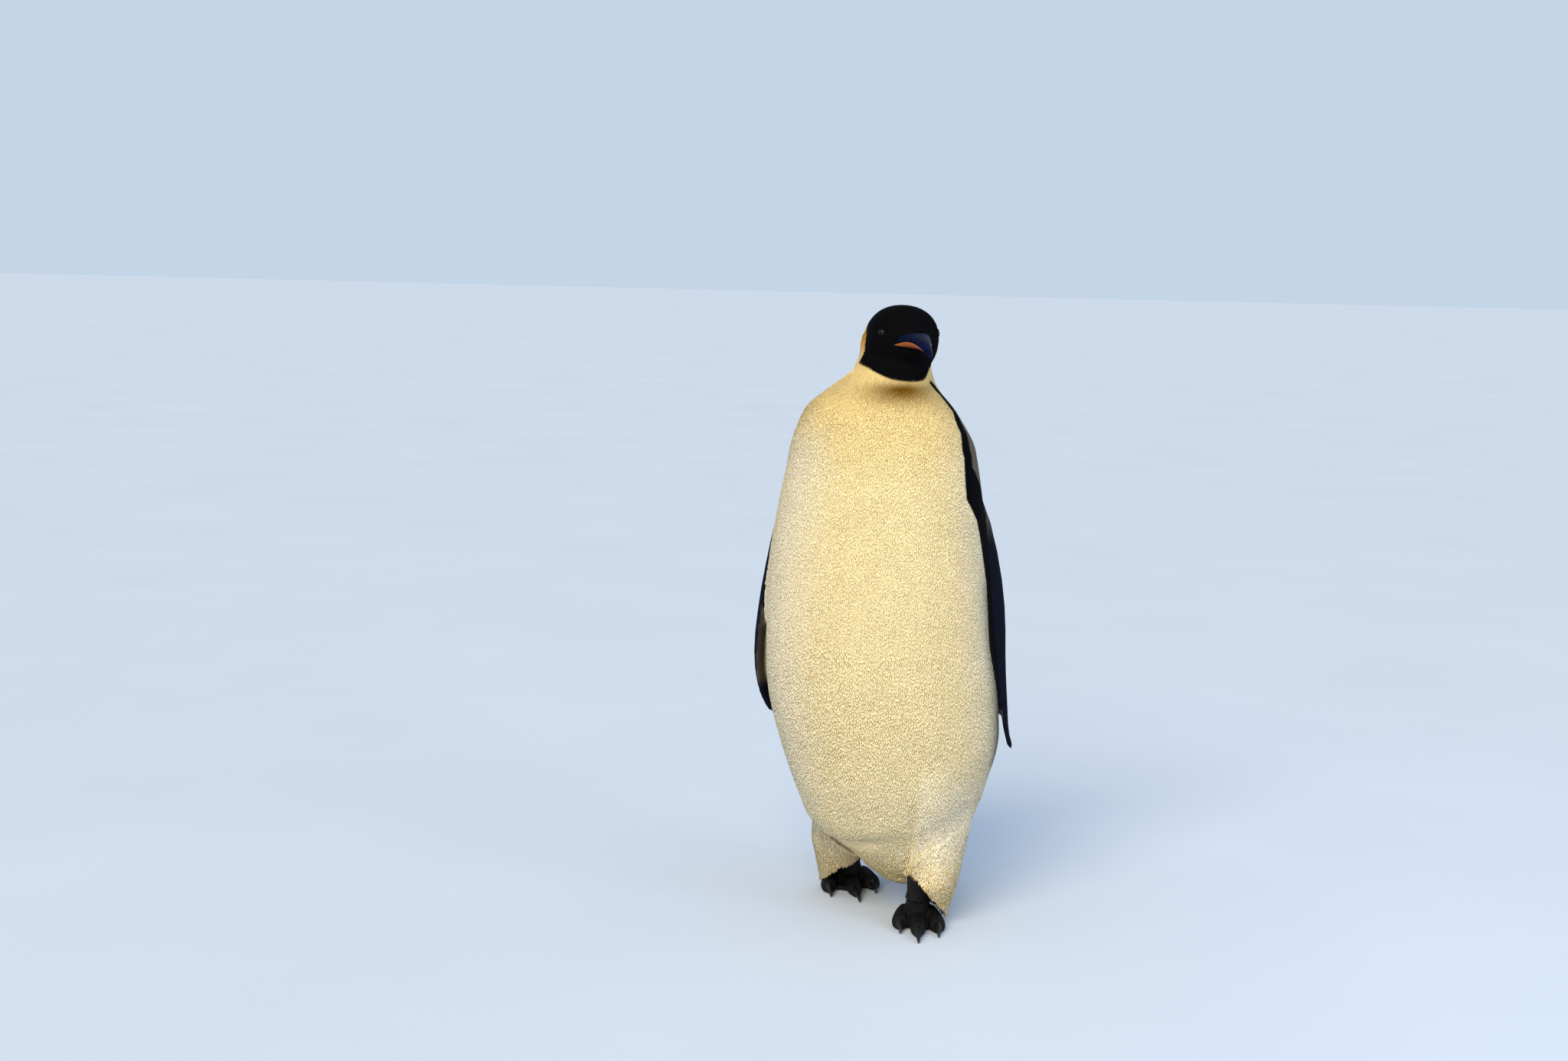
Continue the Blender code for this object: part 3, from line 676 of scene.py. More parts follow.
@dataclass
class Markings:
    """The pattern of the plumage, as shares that the skin and the coat both carry.

    A hem or an edge is a short table.  The head is turned to the left of the trunk, so the edges
    of the two sides differ: the skin of the neck is drawn round with the head.
    """

    anatomy: Anatomy
    edge: float = 0.0016  # half the width of the change from black to pale
    # Lower hem of the hood: angle round the head, height
    hood_hem: tuple = (
        (-180, 0.958), (-125, 0.956), (-92, 0.9498), (-69, 0.9436), (-50, 0.9350), (-36, 0.9286),
        (-22, 0.9256), (-8, 0.9245), (6, 0.9243), (18, 0.9256), (28, 0.9290), (40, 0.9362),
        (60, 0.9445), (92, 0.9510), (125, 0.956), (180, 0.958),
    )
    # Front edge of the ear patch: up on the head, forward on the head
    ear_front: tuple = ((0.030, -0.030), (0.0190, -0.0165), (-0.0082, -0.0127), (-0.0222, -0.0063))
    ear_back: float = -0.047
    ear_top: float = 0.0215
    ear_arch: float = 0.012  # its top drops this far to either side
    nape: float = 137.0  # the nape is black behind this angle
    nape_soft: float = 2.0
    ear_soft: float = 1.5
    # The black of the nape fades out over the slate, and ends crisply over the pale collar
    nape_on_slate: Fade = Fade(0.925, 0.950)
    nape_on_collar: Fade = Fade(0.942, 0.945)
    # Front edge of the black border on each side: height, angle round the trunk
    border_left: tuple = (
        (0.9236, 57), (0.8998, 69), (0.8753, 71), (0.8473, 63.5), (0.8132, 57), (0.7776, 56),
        (0.7344, 55), (0.6963, 64), (0.6512, 68), (0.5892, 73), (0.50, 72), (0.43, 73),
        (0.37, 79), (0.30, 92), (0.20, 112), (0.12, 135), (0.05, 150),
    )
    border_right: tuple = (
        (0.9236, 92), (0.8998, 90), (0.8753, 92), (0.8473, 94), (0.8132, 95), (0.7776, 96),
        (0.7344, 97), (0.6963, 101), (0.6512, 105), (0.5892, 110), (0.50, 118), (0.35, 125),
        (0.20, 134), (0.12, 150), (0.05, 165),
    )
    # Width of the border in degrees: height, width
    border_width: tuple = (
        (0.928, 9.0), (0.915, 13.0), (0.86, 12.0), (0.785, 10.0), (0.755, 22.0), (0.72, 32.0),
        (0.60, 30.0), (0.45, 18.0), (0.10, 15.0),
    )
    border_soft: float = 0.8
    border_hind_soft: float = 1.5
    border_end: Fade = Fade(0.9262, 0.9222)  # its upper ends taper out here
    # The slate of the back starts here: height, angle behind the border's front edge
    slate_lag: tuple = ((0.96, 95), (0.935, 66), (0.915, 34), (0.895, 16), (0.875, 9), (0.10, 8))
    slate_soft: float = 2.0
    # Painted shade: the left flank darkens towards its border, where the flipper shades it
    flank_turn: Fade = Fade(55.0, 78.0)
    flank_low: Fade = Fade(0.24, 0.30)
    flank_high: Fade = Fade(0.64, 0.56)
    flank_shade_curve: float = 1.5
    flank_painted_shade: float = 0.80
    # Gold over cream: most on the breast, some on the belly, a rim along the hem of the legs
    gold_breast: Fade = Fade(0.70, 0.90)
    gold_belly: Fade = Fade(0.35, 0.70)
    gold_share: float = 0.85  # the breast's part of it
    # The ochre under the hood is partly the breast's own deep yellow and partly painted shade under the
    # head and bill
    ochre_turn: float = 18.0  # middle of the ochre bib under the hood
    ochre_half: float = 40.0
    ochre_height: float = 0.9125
    ochre_down: float = 0.0270
    ochre_up: float = 0.0110
    amber_rise: Fade = Fade(0.950, 1.000)  # the ear patch deepens upwards
    side_middle: float = 2.0  # the breast pales away from this angle
    side_turn: Fade = Fade(28.0, 72.0)
    side_height: Fade = Fade(0.90, 0.78)
    side_white: float = 0.75
    # The lower belly pales; the extra white on the near thigh is painted light, where that thigh faces the
    # light
    low_height: Fade = Fade(0.34, 0.20)  # the lower belly pales, most on the near thigh
    thigh_x: Fade = Fade(0.045, 0.065)
    belly_white: float = 0.22
    near_thigh_painted_light: float = 0.50
    hem_height: Fade = Fade(0.17, 0.06)
    hem_gold: float = 0.9
    hem_amber: float = 0.10
    hem_dull: float = 0.5  # share of the white that the hem takes away
    # Flippers: pale inside with a dark rim and painted shade at the front, black outside with a painted
    # navy sheen, slate at the shoulder
    inside: Fade = Fade(0.15, 0.45)
    inside_low: Fade = Fade(0.045, 0.075)  # above the blade's lowest point
    inside_high: Fade = Fade(0.02, 0.06)  # below its highest point
    inside_rim: Fade = Fade(0.92, 0.80)
    # Painted shade: the front part of the inner face turns slate, where the flipper shades it against the
    # body
    lead_shade: Fade = Fade(-0.05, -0.35)  # the front part of the inner face is slate
    lead_shade_slate: float = 0.55
    pale_rim: Fade = Fade(0.80, 0.66)
    shoulder: Fade = Fade(0.10, 0.01)  # below the blade's highest point
    blade_slate: float = 0.02
    blades: dict = field(init=False)

    def __post_init__(self) -> None:
        """Measure both flippers."""
        self.blades = {"flipper_" + label: Blade(side) for label, side in SIDES.items()}

    def hood(self, points: Array) -> Array:
        """Say how far each point lies in the black hood."""
        hem = read_table(self.hood_hem, self.anatomy.head_turn(points))
        return past(hem, self.edge, points[:, 2]) * (1.0 - self.ear(points))

    def ear(self, points: Array) -> Array:
        """Say how far each point lies in the golden patch behind the cheek.

        Args:
            points: places on the bird.

        Returns:
            A share from 0 to 1.
        """
        forward, _, up = self.anatomy.on_head(points).T
        front = read_table(self.ear_front, up)
        across = np.clip((forward - self.ear_back) / (front - self.ear_back), 0.0, 1.0)
        arch = self.ear_top - self.ear_arch * (2.0 * across - 1.0) ** 2
        inside = past(front, -self.edge, forward) * past(arch, -self.edge, up)
        return inside * past(self.nape, -self.ear_soft, np.abs(self.anatomy.head_turn(points)))

    def behind_border(self, points: Array) -> Array:
        """Give each point's angle behind the front edge of the black border.

        Args:
            points: places on the bird.

        Returns:
            Degrees, negative in front of the edge.
        """
        turn, height = self.anatomy.body_turn(points), points[:, 2]
        left = turn - read_table(self.border_left, height)
        right = -turn - read_table(self.border_right, height)
        return np.where(turn > 0, left, right)

    def dark_shares(self, points: Array) -> tuple[Array, Array]:
        """Work out the dark parts of the trunk, neck and head.

        Args:
            points: places on the bird.

        Returns:
            The share of black, with the painted shade of the left flank in it, and the share of slate.
        """
        height = points[:, 2]
        behind = self.behind_border(points)
        hood = self.hood(points)
        width = read_table(self.border_width, height)
        border = past(0.0, self.border_soft, behind) * past(width, -self.border_hind_soft, behind)
        border = border * self.border_end.at(height)
        slate = past(read_table(self.slate_lag, height), self.slate_soft, behind) * (1.0 - hood)
        nape = past(self.nape, self.nape_soft, np.abs(self.anatomy.head_turn(points)))
        ends = slate * self.nape_on_slate.at(height)
        nape = nape * (ends + (1.0 - slate) * self.nape_on_collar.at(height))
        # Painted shade on the left flank beside the flipper
        flank = self.flank_turn.at(self.anatomy.body_turn(points)) ** self.flank_shade_curve
        flank = flank * self.flank_low.at(height) * self.flank_high.at(height)
        flank = self.flank_painted_shade * flank * past(0.0, -self.border_soft, behind)
        return np.maximum.reduce((hood, border, nape, flank)), slate

    def pale_shares(self, points: Array) -> tuple[Array, ...]:
        """Work out the tones of the pale parts.

        Args:
            points: places on the bird.

        Returns:
            The shares of gold, of ochre with painted shade under the chin, of white with painted light on
            the near thigh, and of amber.
        """
        height = points[:, 2]
        turn = self.anatomy.body_turn(points)
        ear, hem = self.ear(points), self.hem_height.at(height)
        gold = self.gold_share * self.gold_breast.at(height)
        gold = gold + (1.0 - self.gold_share) * self.gold_belly.at(height)
        gold = np.maximum.reduce((gold, ear, self.hem_gold * hem))
        # The ochre holds painted shade under the chin
        depth = np.where(height < self.ochre_height, self.ochre_down, self.ochre_up)
        ochre_and_shade = bell(self.ochre_turn, self.ochre_half, turn) * bell(self.ochre_height, depth, height)
        side = self.side_turn.at(np.abs(turn - self.side_middle)) * self.side_height.at(height)
        # Painted light: extra white on the near thigh
        white = self.belly_white + self.near_thigh_painted_light * self.thigh_x.at(points[:, 0])
        white = np.maximum(white * self.low_height.at(height), self.side_white * side)
        white = white * (1.0 - self.hem_dull * hem)
        amber = np.maximum(ear * self.amber_rise.at(height), self.hem_amber * hem)
        return gold, ochre_and_shade, white, amber

    def flipper_shares(self, points: Array, blade: Blade) -> tuple[Array, Array]:
        """Work out the pattern of one flipper.

        Args:
            points: places on the flipper.
            blade: its measures.

        Returns:
            Rows of black, slate and gold, and rows of ochre, white and painted navy sheen; the slate holds
            painted shade at the front of the inner face.
        """
        height, across = points[:, 2], blade.across(points)
        inner = self.inside.at(blade.inward(points)) * self.inside_low.at(height - blade.low)
        inner = inner * self.inside_high.at(blade.high - height) * self.inside_rim.at(np.abs(across))
        # Painted shade at the front of the inner face
        lead_shade = self.lead_shade.at(across)
        pale = inner * (1.0 - lead_shade) * self.pale_rim.at(across)
        slate = (1.0 - self.blade_slate) * self.shoulder.at(blade.high - height) + self.blade_slate
        slate = np.maximum(slate, self.lead_shade_slate * inner * lead_shade)
        dark, none = 1.0 - pale, np.zeros(len(points))
        marks = np.stack((dark * (1.0 - slate), dark, none), axis=1)
        # The third tint is the share of painted navy sheen
        return marks, np.stack((none, pale, dark), axis=1)

    def pattern(self, points: Array, nodes: Array) -> tuple[Array, Array]:
        """Work out the markings of points that belong to different parts of the bird.

        Args:
            points: places on the bird.
            nodes: the CAD node that each place belongs to.

        Returns:
            Rows of black, slate and gold, and rows of ochre, white and amber; the black holds painted shade
            on the left flank and the ochre painted shade under the chin.  On a flipper the last number is
            the share of painted navy sheen in its black.
        """
        black, slate = self.dark_shares(points)
        gold, ochre_and_shade, white, amber = self.pale_shares(points)
        marks = np.stack((black, slate, gold), axis=1)
        tints = np.stack((ochre_and_shade, white, amber), axis=1)
        for name, blade in self.blades.items():
            there = nodes == name
            if there.any():
                marks[there], tints[there] = self.flipper_shares(points[there], blade)
        marks[nodes == "tail"] = BLACK_MARK
        return marks, tints


# ----- Finishes -----


@dataclass(frozen=True)
class PlumageFinish:
    """Contour feathers of keratin, with the pigments of the emperor penguin and with the painted shade,
    light and sheen that the markings carry.

    Feather keratin is a soft satin.  Fine barbs scatter the light, so the coat looks matt, and
    the black feathers hold nearly all of it.
    """

    name: str
    on_vanes: bool
    cream: str = "#EBD7A4"
    yellow: str = "#ECD08A"
    white: str = "#F1E7CB"
    # Ochre: deep yellow, darkened by painted shade under the chin
    ochre_and_shade: str = "#6A4800"
    amber: str = "#C4861A"
    slate: str = "#8C8375"
    slate_root: str = "#605B53"
    black: str = "#08080A"
    # Navy: a painted blue sheen of reflected sky on the black
    navy_sheen: str = "#070E20"
    pale_rough: float = 0.62
    dark_rough: float = 0.80
    gloss: float = 0.04  # specular level: barbs trap most of the light
    streak_mm: float = 2.6  # width of the fine streaks down the plumage
    streak_length_mm: float = 45.0
    cloud_mm: float = 70.0  # width of the broad soft patches of tone
    streak_tone: float = 0.50  # how far each of these changes the tone
    cloud_tone: float = 0.18
    vane_tone: float = 0.05  # from one vane to the next
    tip_tone: float = 0.06  # from a vane's root to its tip
    skin_tip: float = 0.45  # the skin is as slate as this share of a vane's length
    own_normal: float = 0.12  # share of a vane's own form in its shading
    skin_bump: float = 0.0006

    def build(self) -> Material:
        """Make the material.

        Returns:
            The material, which reads the markings from the mesh's attributes.
        """
        material, add, shader = new_material(self.name)
        marks = add("ShaderNodeAttribute", attribute_name="marks").outputs["Vector"]
        tints = add("ShaderNodeAttribute", attribute_name="tints").outputs["Vector"]
        vane = add("ShaderNodeAttribute", attribute_name="vane").outputs["Vector"]
        black, slate, gold = add("ShaderNodeSeparateXYZ", {0: marks}).outputs
        ochre_and_shade, white, amber = add("ShaderNodeSeparateXYZ", {0: tints}).outputs
        along, chance, _ = add("ShaderNodeSeparateXYZ", {0: vane}).outputs
        streaks, clouds = self.noises(add)
        parts = [(streaks, self.streak_tone, 0.5), (clouds, self.cloud_tone, 0.5)]
        tip = self.skin_tip
        if self.on_vanes:
            parts += [(chance, self.vane_tone, 0.5), (along, self.tip_tone, 0.6)]
            # A slate feather is darker at its root than at its tip
            tip = add("ShaderNodeMath", {0: along, 1: 1.3, 2: -0.35}, operation="MULTIPLY_ADD")
        # Each layer covers the colour below it by its share: 0 the share, 6 and 7 two colours
        colour = linear(self.cream)
        for share, pigment in (
            (gold, self.yellow), (white, self.white), (amber, self.amber), (ochre_and_shade, self.ochre_and_shade),
        ):
            colour = add("ShaderNodeMix", {0: share, 6: colour, 7: linear(pigment)}, data_type="RGBA")
        tone = 1.0 - sum(share * middle for _, share, middle in parts)
        for value, share, _ in parts:
            tone = add("ShaderNodeMath", {0: value, 1: share, 2: tone}, operation="MULTIPLY_ADD")
        shade = add("ShaderNodeCombineXYZ", {0: tone, 1: tone, 2: tone})
        colour = add(
            "ShaderNodeMix", {0: 1.0, 6: colour, 7: shade}, data_type="RGBA", blend_type="MULTIPLY",
        )
        # The black takes the painted navy sheen by the third tint: amber on the body, navy on a flipper
        for cover, share, first, second in (
            (slate, tip, self.slate_root, self.slate), (black, amber, self.black, self.navy_sheen),
        ):
            pigment = add(
                "ShaderNodeMix", {0: share, 6: linear(first), 7: linear(second)}, data_type="RGBA",
            )
            colour = add("ShaderNodeMix", {0: cover, 6: colour, 7: pigment}, data_type="RGBA")
        dark = add("ShaderNodeMath", {0: black, 1: slate}, operation="MAXIMUM")
        rough = add(
            "ShaderNodeMath", {0: dark, 1: self.dark_rough - self.pale_rough, 2: self.pale_rough},
            operation="MULTIPLY_ADD",
        )
        fill_inputs(shader, {
            "Base Color": colour, "Roughness": rough, "Specular IOR Level": self.gloss,
            "IOR": 1.45, "Normal": self.normal(add, streaks),
        })
        return material

    def noises(self, add: partial) -> tuple[Node, Node]:
        """Add the two unevennesses of tone.

        Args:
            add: the function that adds a node to the material.

        Returns:
            The fine streaks and the broad clouds.
        """
        place = add("ShaderNodeTexCoord").outputs["Object"]
        drawn = add(
            "ShaderNodeMapping", {0: place, "Scale": (1.0, 1.0, self.streak_mm / self.streak_length_mm)},
        )
        streaks = add(
            "ShaderNodeTexNoise",
            {"Vector": drawn, "Scale": 1000.0 / self.streak_mm, "Detail": 2.0, "Roughness": 0.6},
        )
        clouds = add(
            "ShaderNodeTexNoise", {"Vector": place, "Scale": 1000.0 / self.cloud_mm, "Detail": 2.0},
        )
        return streaks, clouds

    def normal(self, add: partial, streaks: Node) -> Node:
        """Add the shading direction: a vane takes most of its own from the lie of the coat.

        Args:
            add: the function that adds a node to the material.
            streaks: the fine streaks, which the bare skin is ribbed by.

        Returns:
            The node that gives it.
        """
        if not self.on_vanes:
            return add("ShaderNodeBump", {"Height": streaks, "Distance": self.skin_bump, "Strength": 0.5})
        lay = add("ShaderNodeAttribute", attribute_name="lay").outputs["Vector"]
        own = add("ShaderNodeNewGeometry").outputs["Normal"]
        both = add("ShaderNodeMix", {0: self.own_normal, 4: lay, 5: own}, data_type="VECTOR")
        return add("ShaderNodeVectorMath", {0: both}, operation="NORMALIZE")


@dataclass(frozen=True)
class ScalyFootFinish:
    """Bare scaly foot skin: thick black leather of small round scutes, dry and slightly waxy."""

    name: str = "scaly foot skin"
    black: str = "#040404"
    worn: str = "#141110"
    scute_mm: float = 3.2
    dust_mm: float = 8.3333
    rough: float = 0.62
    gloss: float = 0.18
    bump: float = 0.0007

    def build(self) -> Material:
        """Make the material.

        Returns:
            The material, with its scutes worn paler in their middles.
        """
        material, add, shader = new_material(self.name)
        place = add("ShaderNodeTexCoord").outputs["Object"]
        scutes = add(
            "ShaderNodeTexVoronoi", {"Vector": place, "Scale": 1000.0 / self.scute_mm, "Randomness": 0.8},
            feature="DISTANCE_TO_EDGE",
        ).outputs["Distance"]
        dust = add("ShaderNodeTexNoise", {"Vector": place, "Scale": 1000.0 / self.dust_mm, "Detail": 4.0})
        worn = add("ShaderNodeMath", {0: scutes, 1: dust}, operation="MULTIPLY")
        share = add("ShaderNodeMapRange", {0: worn, 1: 0.08, 2: 0.35, 3: 0.0, 4: 0.7})
        colour = add(
            "ShaderNodeMix", {0: share, 6: linear(self.black), 7: linear(self.worn)}, data_type="RGBA",
        )
        height = add("ShaderNodeMapRange", {0: scutes, 1: 0.0, 2: 0.25, 3: 0.0, 4: 1.0})
        bump = add("ShaderNodeBump", {"Height": height, "Distance": self.bump, "Strength": 0.8})
        fill_inputs(shader, {
            "Base Color": colour, "Roughness": self.rough, "Specular IOR Level": self.gloss, "Normal": bump,
        })
        return material


@dataclass(frozen=True)
class HornFinish:
    """Horn of the bill and claws: dense keratin, worn smooth to a low gloss by use."""

    name: str
    deep: str
    # On the bill the paler clouds are navy: a painted blue sheen of reflected sky
    light: str
    rough: float
    gloss: float  # specular level
    tint: str = "#FFFFFF"  # colour of the gloss
    grain_mm: float = 5.6  # soft clouding of the horn
    bump: float = 0.00012

    def build(self) -> Material:
        """Make the material.

        Returns:
            The material, clouded in colour, roughness and height together.
        """
        material, add, shader = new_material(self.name)
        place = add("ShaderNodeTexCoord").outputs["Object"]
        grain = add(
            "ShaderNodeTexNoise",
            {"Vector": place, "Scale": 1000.0 / self.grain_mm, "Detail": 4.0, "Roughness": 0.65},
        )
        share = add("ShaderNodeMapRange", {0: grain, 1: 0.35, 2: 0.70, 3: 0.0, 4: 1.0})
        colour = add(
            "ShaderNodeMix", {0: share, 6: linear(self.deep), 7: linear(self.light)}, data_type="RGBA",
        )
        rough = add(
            "ShaderNodeMapRange", {0: grain, 1: 0.0, 2: 1.0, 3: self.rough - 0.06, 4: self.rough + 0.10},
        )
        fill_inputs(shader, {
            "Base Color": colour, "Roughness": rough, "IOR": 1.54,
            "Specular IOR Level": self.gloss, "Specular Tint": linear(self.tint),
            "Normal": add("ShaderNodeBump", {"Height": grain, "Distance": self.bump}),
        })
        return material


@dataclass(frozen=True)
class PlateFinish:
    """Coloured horn plate of the lower bill: orange at the gape, pink lilac towards the tip."""

    name: str = "bill plate horn"
    orange: str = "#7E4206"
    pink: str = "#7C3E12"
    lilac: str = "#5C3030"
    stops: tuple = (0.30, 0.62, 1.0)  # where each colour is full along the plate
    grain_mm: float = 2.381
    uneven: float = 0.16  # how far the grain shifts the colours
    rough: float = 0.30

    def build(self) -> Material:
        """Make the material.

        Returns:
            The material, which reads how far each point lies along the plate.
        """
        material, add, shader = new_material(self.name)
        run = add("ShaderNodeAttribute", attribute_name="run").outputs["Fac"]
        place = add("ShaderNodeTexCoord").outputs["Object"]
        grain = add("ShaderNodeTexNoise", {"Vector": place, "Scale": 1000.0 / self.grain_mm, "Detail": 3.0})
        shifted = add("ShaderNodeMath", {0: grain, 1: self.uneven, 2: run}, operation="MULTIPLY_ADD")
        blend = add("ShaderNodeValToRGB", {0: shifted})
        first, last = blend.color_ramp.elements
        first.position, first.color = self.stops[0], linear(self.orange)
        last.position, last.color = self.stops[2], linear(self.lilac)
        blend.color_ramp.elements.new(self.stops[1]).color = linear(self.pink)
        fill_inputs(shader, {
            "Base Color": blend, "Roughness": self.rough, "IOR": 1.54, "Specular IOR Level": 0.3,
            "Coat Weight": 0.1, "Coat Roughness": 0.15,
            "Normal": add("ShaderNodeBump", {"Height": grain, "Distance": 0.0001}),
        })
        return material


@dataclass(frozen=True)
class EyeFinish:
    """Eyeball: a wet clear cornea over a dark brown iris and a black pupil."""

    name: str = "wet dark eye"
    pupil: str = "#020202"
    iris: str = "#1E110A"
    rim: str = "#0B0706"
    # Where the pupil, the iris's two edges and the rim lie from the cornea's middle
    stops: tuple = (0.26, 0.30, 0.50, 0.62)
    rough: float = 0.04

    def build(self) -> Material:
        """Make the material.

        Returns:
            The material, which reads each point's distance from the middle of the cornea.
        """
        material, add, shader = new_material(self.name)
        away = add("ShaderNodeAttribute", attribute_name="away").outputs["Fac"]
        blend = add("ShaderNodeValToRGB", {0: away})
        first, last = blend.color_ramp.elements
        first.position, first.color = self.stops[0], linear(self.pupil)
        last.position, last.color = self.stops[3], linear(self.rim)
        for stop in self.stops[1:3]:
            blend.color_ramp.elements.new(stop).color = linear(self.iris)
        fill_inputs(shader, {
            "Base Color": blend, "Roughness": self.rough, "IOR": 1.376, "Specular IOR Level": 0.35,
        })
        return material


@dataclass(frozen=True)
class FloorFinish:
    """Matt painted studio floor, pale and cool, with a faint broad unevenness."""

    name: str = "matt studio floor"
    light: str = "#C9D2DD"
    dark: str = "#C1CAD5"
    patch_mm: float = 625.0
    rough: float = 0.8
    gloss: float = 0.1  # specular level: matt paint with very little shine

    def build(self) -> Material:
        """Make the material.

        Returns:
            The material.
        """
        material, add, shader = new_material(self.name)
        place = add("ShaderNodeTexCoord").outputs["Object"]
        patches = add(
            "ShaderNodeTexNoise", {"Vector": place, "Scale": 1000.0 / self.patch_mm, "Detail": 3.0},
        )
        colour = add(
            "ShaderNodeMix", {0: patches, 6: linear(self.dark), 7: linear(self.light)}, data_type="RGBA",
        )
        fill_inputs(shader, {
            "Base Color": colour, "Roughness": self.rough, "Specular IOR Level": self.gloss,
        })
        return material


# ----- Skin -----


@dataclass(frozen=True)
class CuffEdge:
    """Bare underside of one cuff, and its front edge, which rises in a straight line."""

    x: float  # a point on the line
    height: float
    slope: float
    top: float  # the line rises no higher
    outer: float  # it ends this far out
    side: float  # 1 for the left cuff, -1 for the right one
    under_top: float  # faces that look down are bare below this height

    def bare(self, centres: Array, normals: Array, under: float) -> Array:
        """Choose the faces that carry no feathers.

        Args:
            centres: the middles of the faces.
            normals: their directions.
            under: a face looks down where the height of its direction is below this.

        Returns:
            True for each bare face.
        """
        x, height = centres[:, 0], centres[:, 2]
        line = np.minimum(self.height + self.slope * (x - self.x), self.top)
        front = (height < line) & (self.side * x < self.outer) & (normals[:, 1] < 0.2)
        return front | ((normals[:, 2] < under) & (height < self.under_top))


@dataclass
class Skin:
    """The one skin under the coat, from the bill's base to the soles."""

    anatomy: Anatomy
    markings: Markings
    voxel: float = 0.0038
    swell: float = 0.0006  # closes the hairline gaps between the solids
    form_rounds: int = 8
    # How far each part's corners are evened out; the legs and the low trunk less
    smoothing: dict = field(default_factory=lambda: {
        "trunk": 1.0, "neck": 0.8, "head": 0.05, "leg_left": 0.3, "leg_right": 0.3,
        "tail": 0.04, "flipper_left": 0.02, "flipper_right": 0.02,
    })
    smoothing_rounds: int = 90
    smoothing_blur: int = 6
    smoothing_low: float = 0.35
    smoothing_height: Fade = Fade(0.18, 0.34)
    # How deep the skin lies under the coat
    depths: dict = field(default_factory=lambda: {
        "trunk": 0.0013, "neck": 0.0013, "head": 0.0012, "tail": 0.0016, "leg_left": 0.0024,
        "leg_right": 0.0024, "flipper_left": 0.0009, "flipper_right": 0.0009,
        "foot_left": 0.0024, "foot_right": 0.0024,
    })
    depth_face: float = 0.0009
    depth_eye: float = 0.0010
    depth_blur: int = 24
    face_forward: Fade = Fade(0.030, 0.062)
    face_lowest: float = 0.94
    eye_near: Fade = Fade(0.022, 0.011)
    # The creases where the legs leave the trunk are filled near both
    crease_fill: float = 0.6
    crease_near: Fade = Fade(0.050, 0.022)
    crease_height: Fade = Fade(0.075, 0.105)
    crease_rounds: int = 160
    far_away: float = 0.06  # distances to a node are measured up to this
    # Front edge of the belly over the gap between the legs: x, height
    arch: tuple = (
        (-0.110, 0.143), (-0.085, 0.148), (-0.045, 0.157), (-0.004, 0.173), (0.020, 0.195), (0.046, 0.210),
    )
    arch_left: Fade = Fade(0.056, 0.010)
    arch_right: Fade = Fade(-0.130, -0.095)
    arch_soft: float = 0.013  # the edge is this soft at the far leg
    arch_softer: float = 0.045  # and this much softer at the near thigh
    arch_soft_x: Fade = Fade(-0.030, 0.045)
    arch_depth: float = 0.008  # the front draws back this far at the near thigh
    arch_deeper: float = 0.023  # and this much further at the far leg
    arch_depth_x: Fade = Fade(-0.010, -0.060)
    facing_front: Fade = Fade(0.1, -0.35)
    lowest_trunk: Fade = Fade(0.13, 0.10)
    # The near thigh, the crease beside it and the left flank
    thigh_x: float = 0.088
    thigh_half: float = 0.036
    thigh_swell: float = 0.012
    thigh_low: Fade = Fade(0.045, 0.085)
    thigh_high: Fade = Fade(0.33, 0.21)
    crease_x: float = 0.047
    crease_half: float = 0.008
    crease_depth: float = 0.007
    crease_low: Fade = Fade(0.075, 0.10)
    crease_high: Fade = Fade(0.25, 0.19)
    flank_turn: float = 72.0
    flank_half: float = 26.0
    flank_swell: float = 0.008
    flank_low: Fade = Fade(0.24, 0.34)
    flank_high: Fade = Fade(0.50, 0.40)
    flipper_x: float = 0.2  # further out than this is the flipper, not the flank
    # Feet, each with a shank that runs up inside the leg
    foot_voxel: float = 0.0021
    foot_rounds: int = 5
    crown_low: float = 0.55  # the shank stands over the foot's points above this share
    shank_low: float = 0.5  # and starts at this share of the foot's height
    shank_lean: float = 0.25
    shank_radius: float = 0.0165
    shank_taper: float = 0.8
    shank_rise: float = 0.050
    shank_sides: int = 24
    floor_gap: float = 0.0002
    # Lids
    lid_half_length: float = 0.0048
    lid_half_height: float = 0.0039
    lid_steps: int = 72
    # A lid's section round the ball: angle past the opening's edge, height over the ball
    lid_section: tuple = (
        (0.00, 0.00005), (-0.015, 0.0004), (0.03, 0.0008), (0.12, 0.0009), (0.30, 0.0007),
        (0.55, 0.0006), (0.85, 0.0004), (0.85, -0.0022), (0.10, -0.0016),
    )
    lid_black: float = 0.012  # the skin is black this near the eye's middle
    # Zones
    belly_top: float = 0.50
    rump_top: float = 0.47
    back_turn: float = 92.0  # the back starts this far round
    back_shift: float = 15.0  # from a front that is turned this far to the right
    neck_low: float = 0.872  # height where the neck's feathers begin
    mix_band: float = 0.016  # they mix with the trunk's this far up and down
    mix_seed: int = 5
    face_start: float = 0.034  # forward on the head
    face_round_eye: float = 0.0175
    bare_round_eye: float = 0.0125
    bare_lid: float = 0.82  # no feathers this near the eye's axis, in radians
    cuff_under: float = -0.62  # a cuff's face that looks further down than this is bare
    cuffs: dict = field(default_factory=lambda: {
        "leg_left": CuffEdge(0.0616, 0.098, -1.21, 0.098, 0.112, 1.0, 0.095),
        "leg_right": CuffEdge(-0.0909, 0.023, 0.87, 0.078, 0.075, -1.0, 0.070),
    })
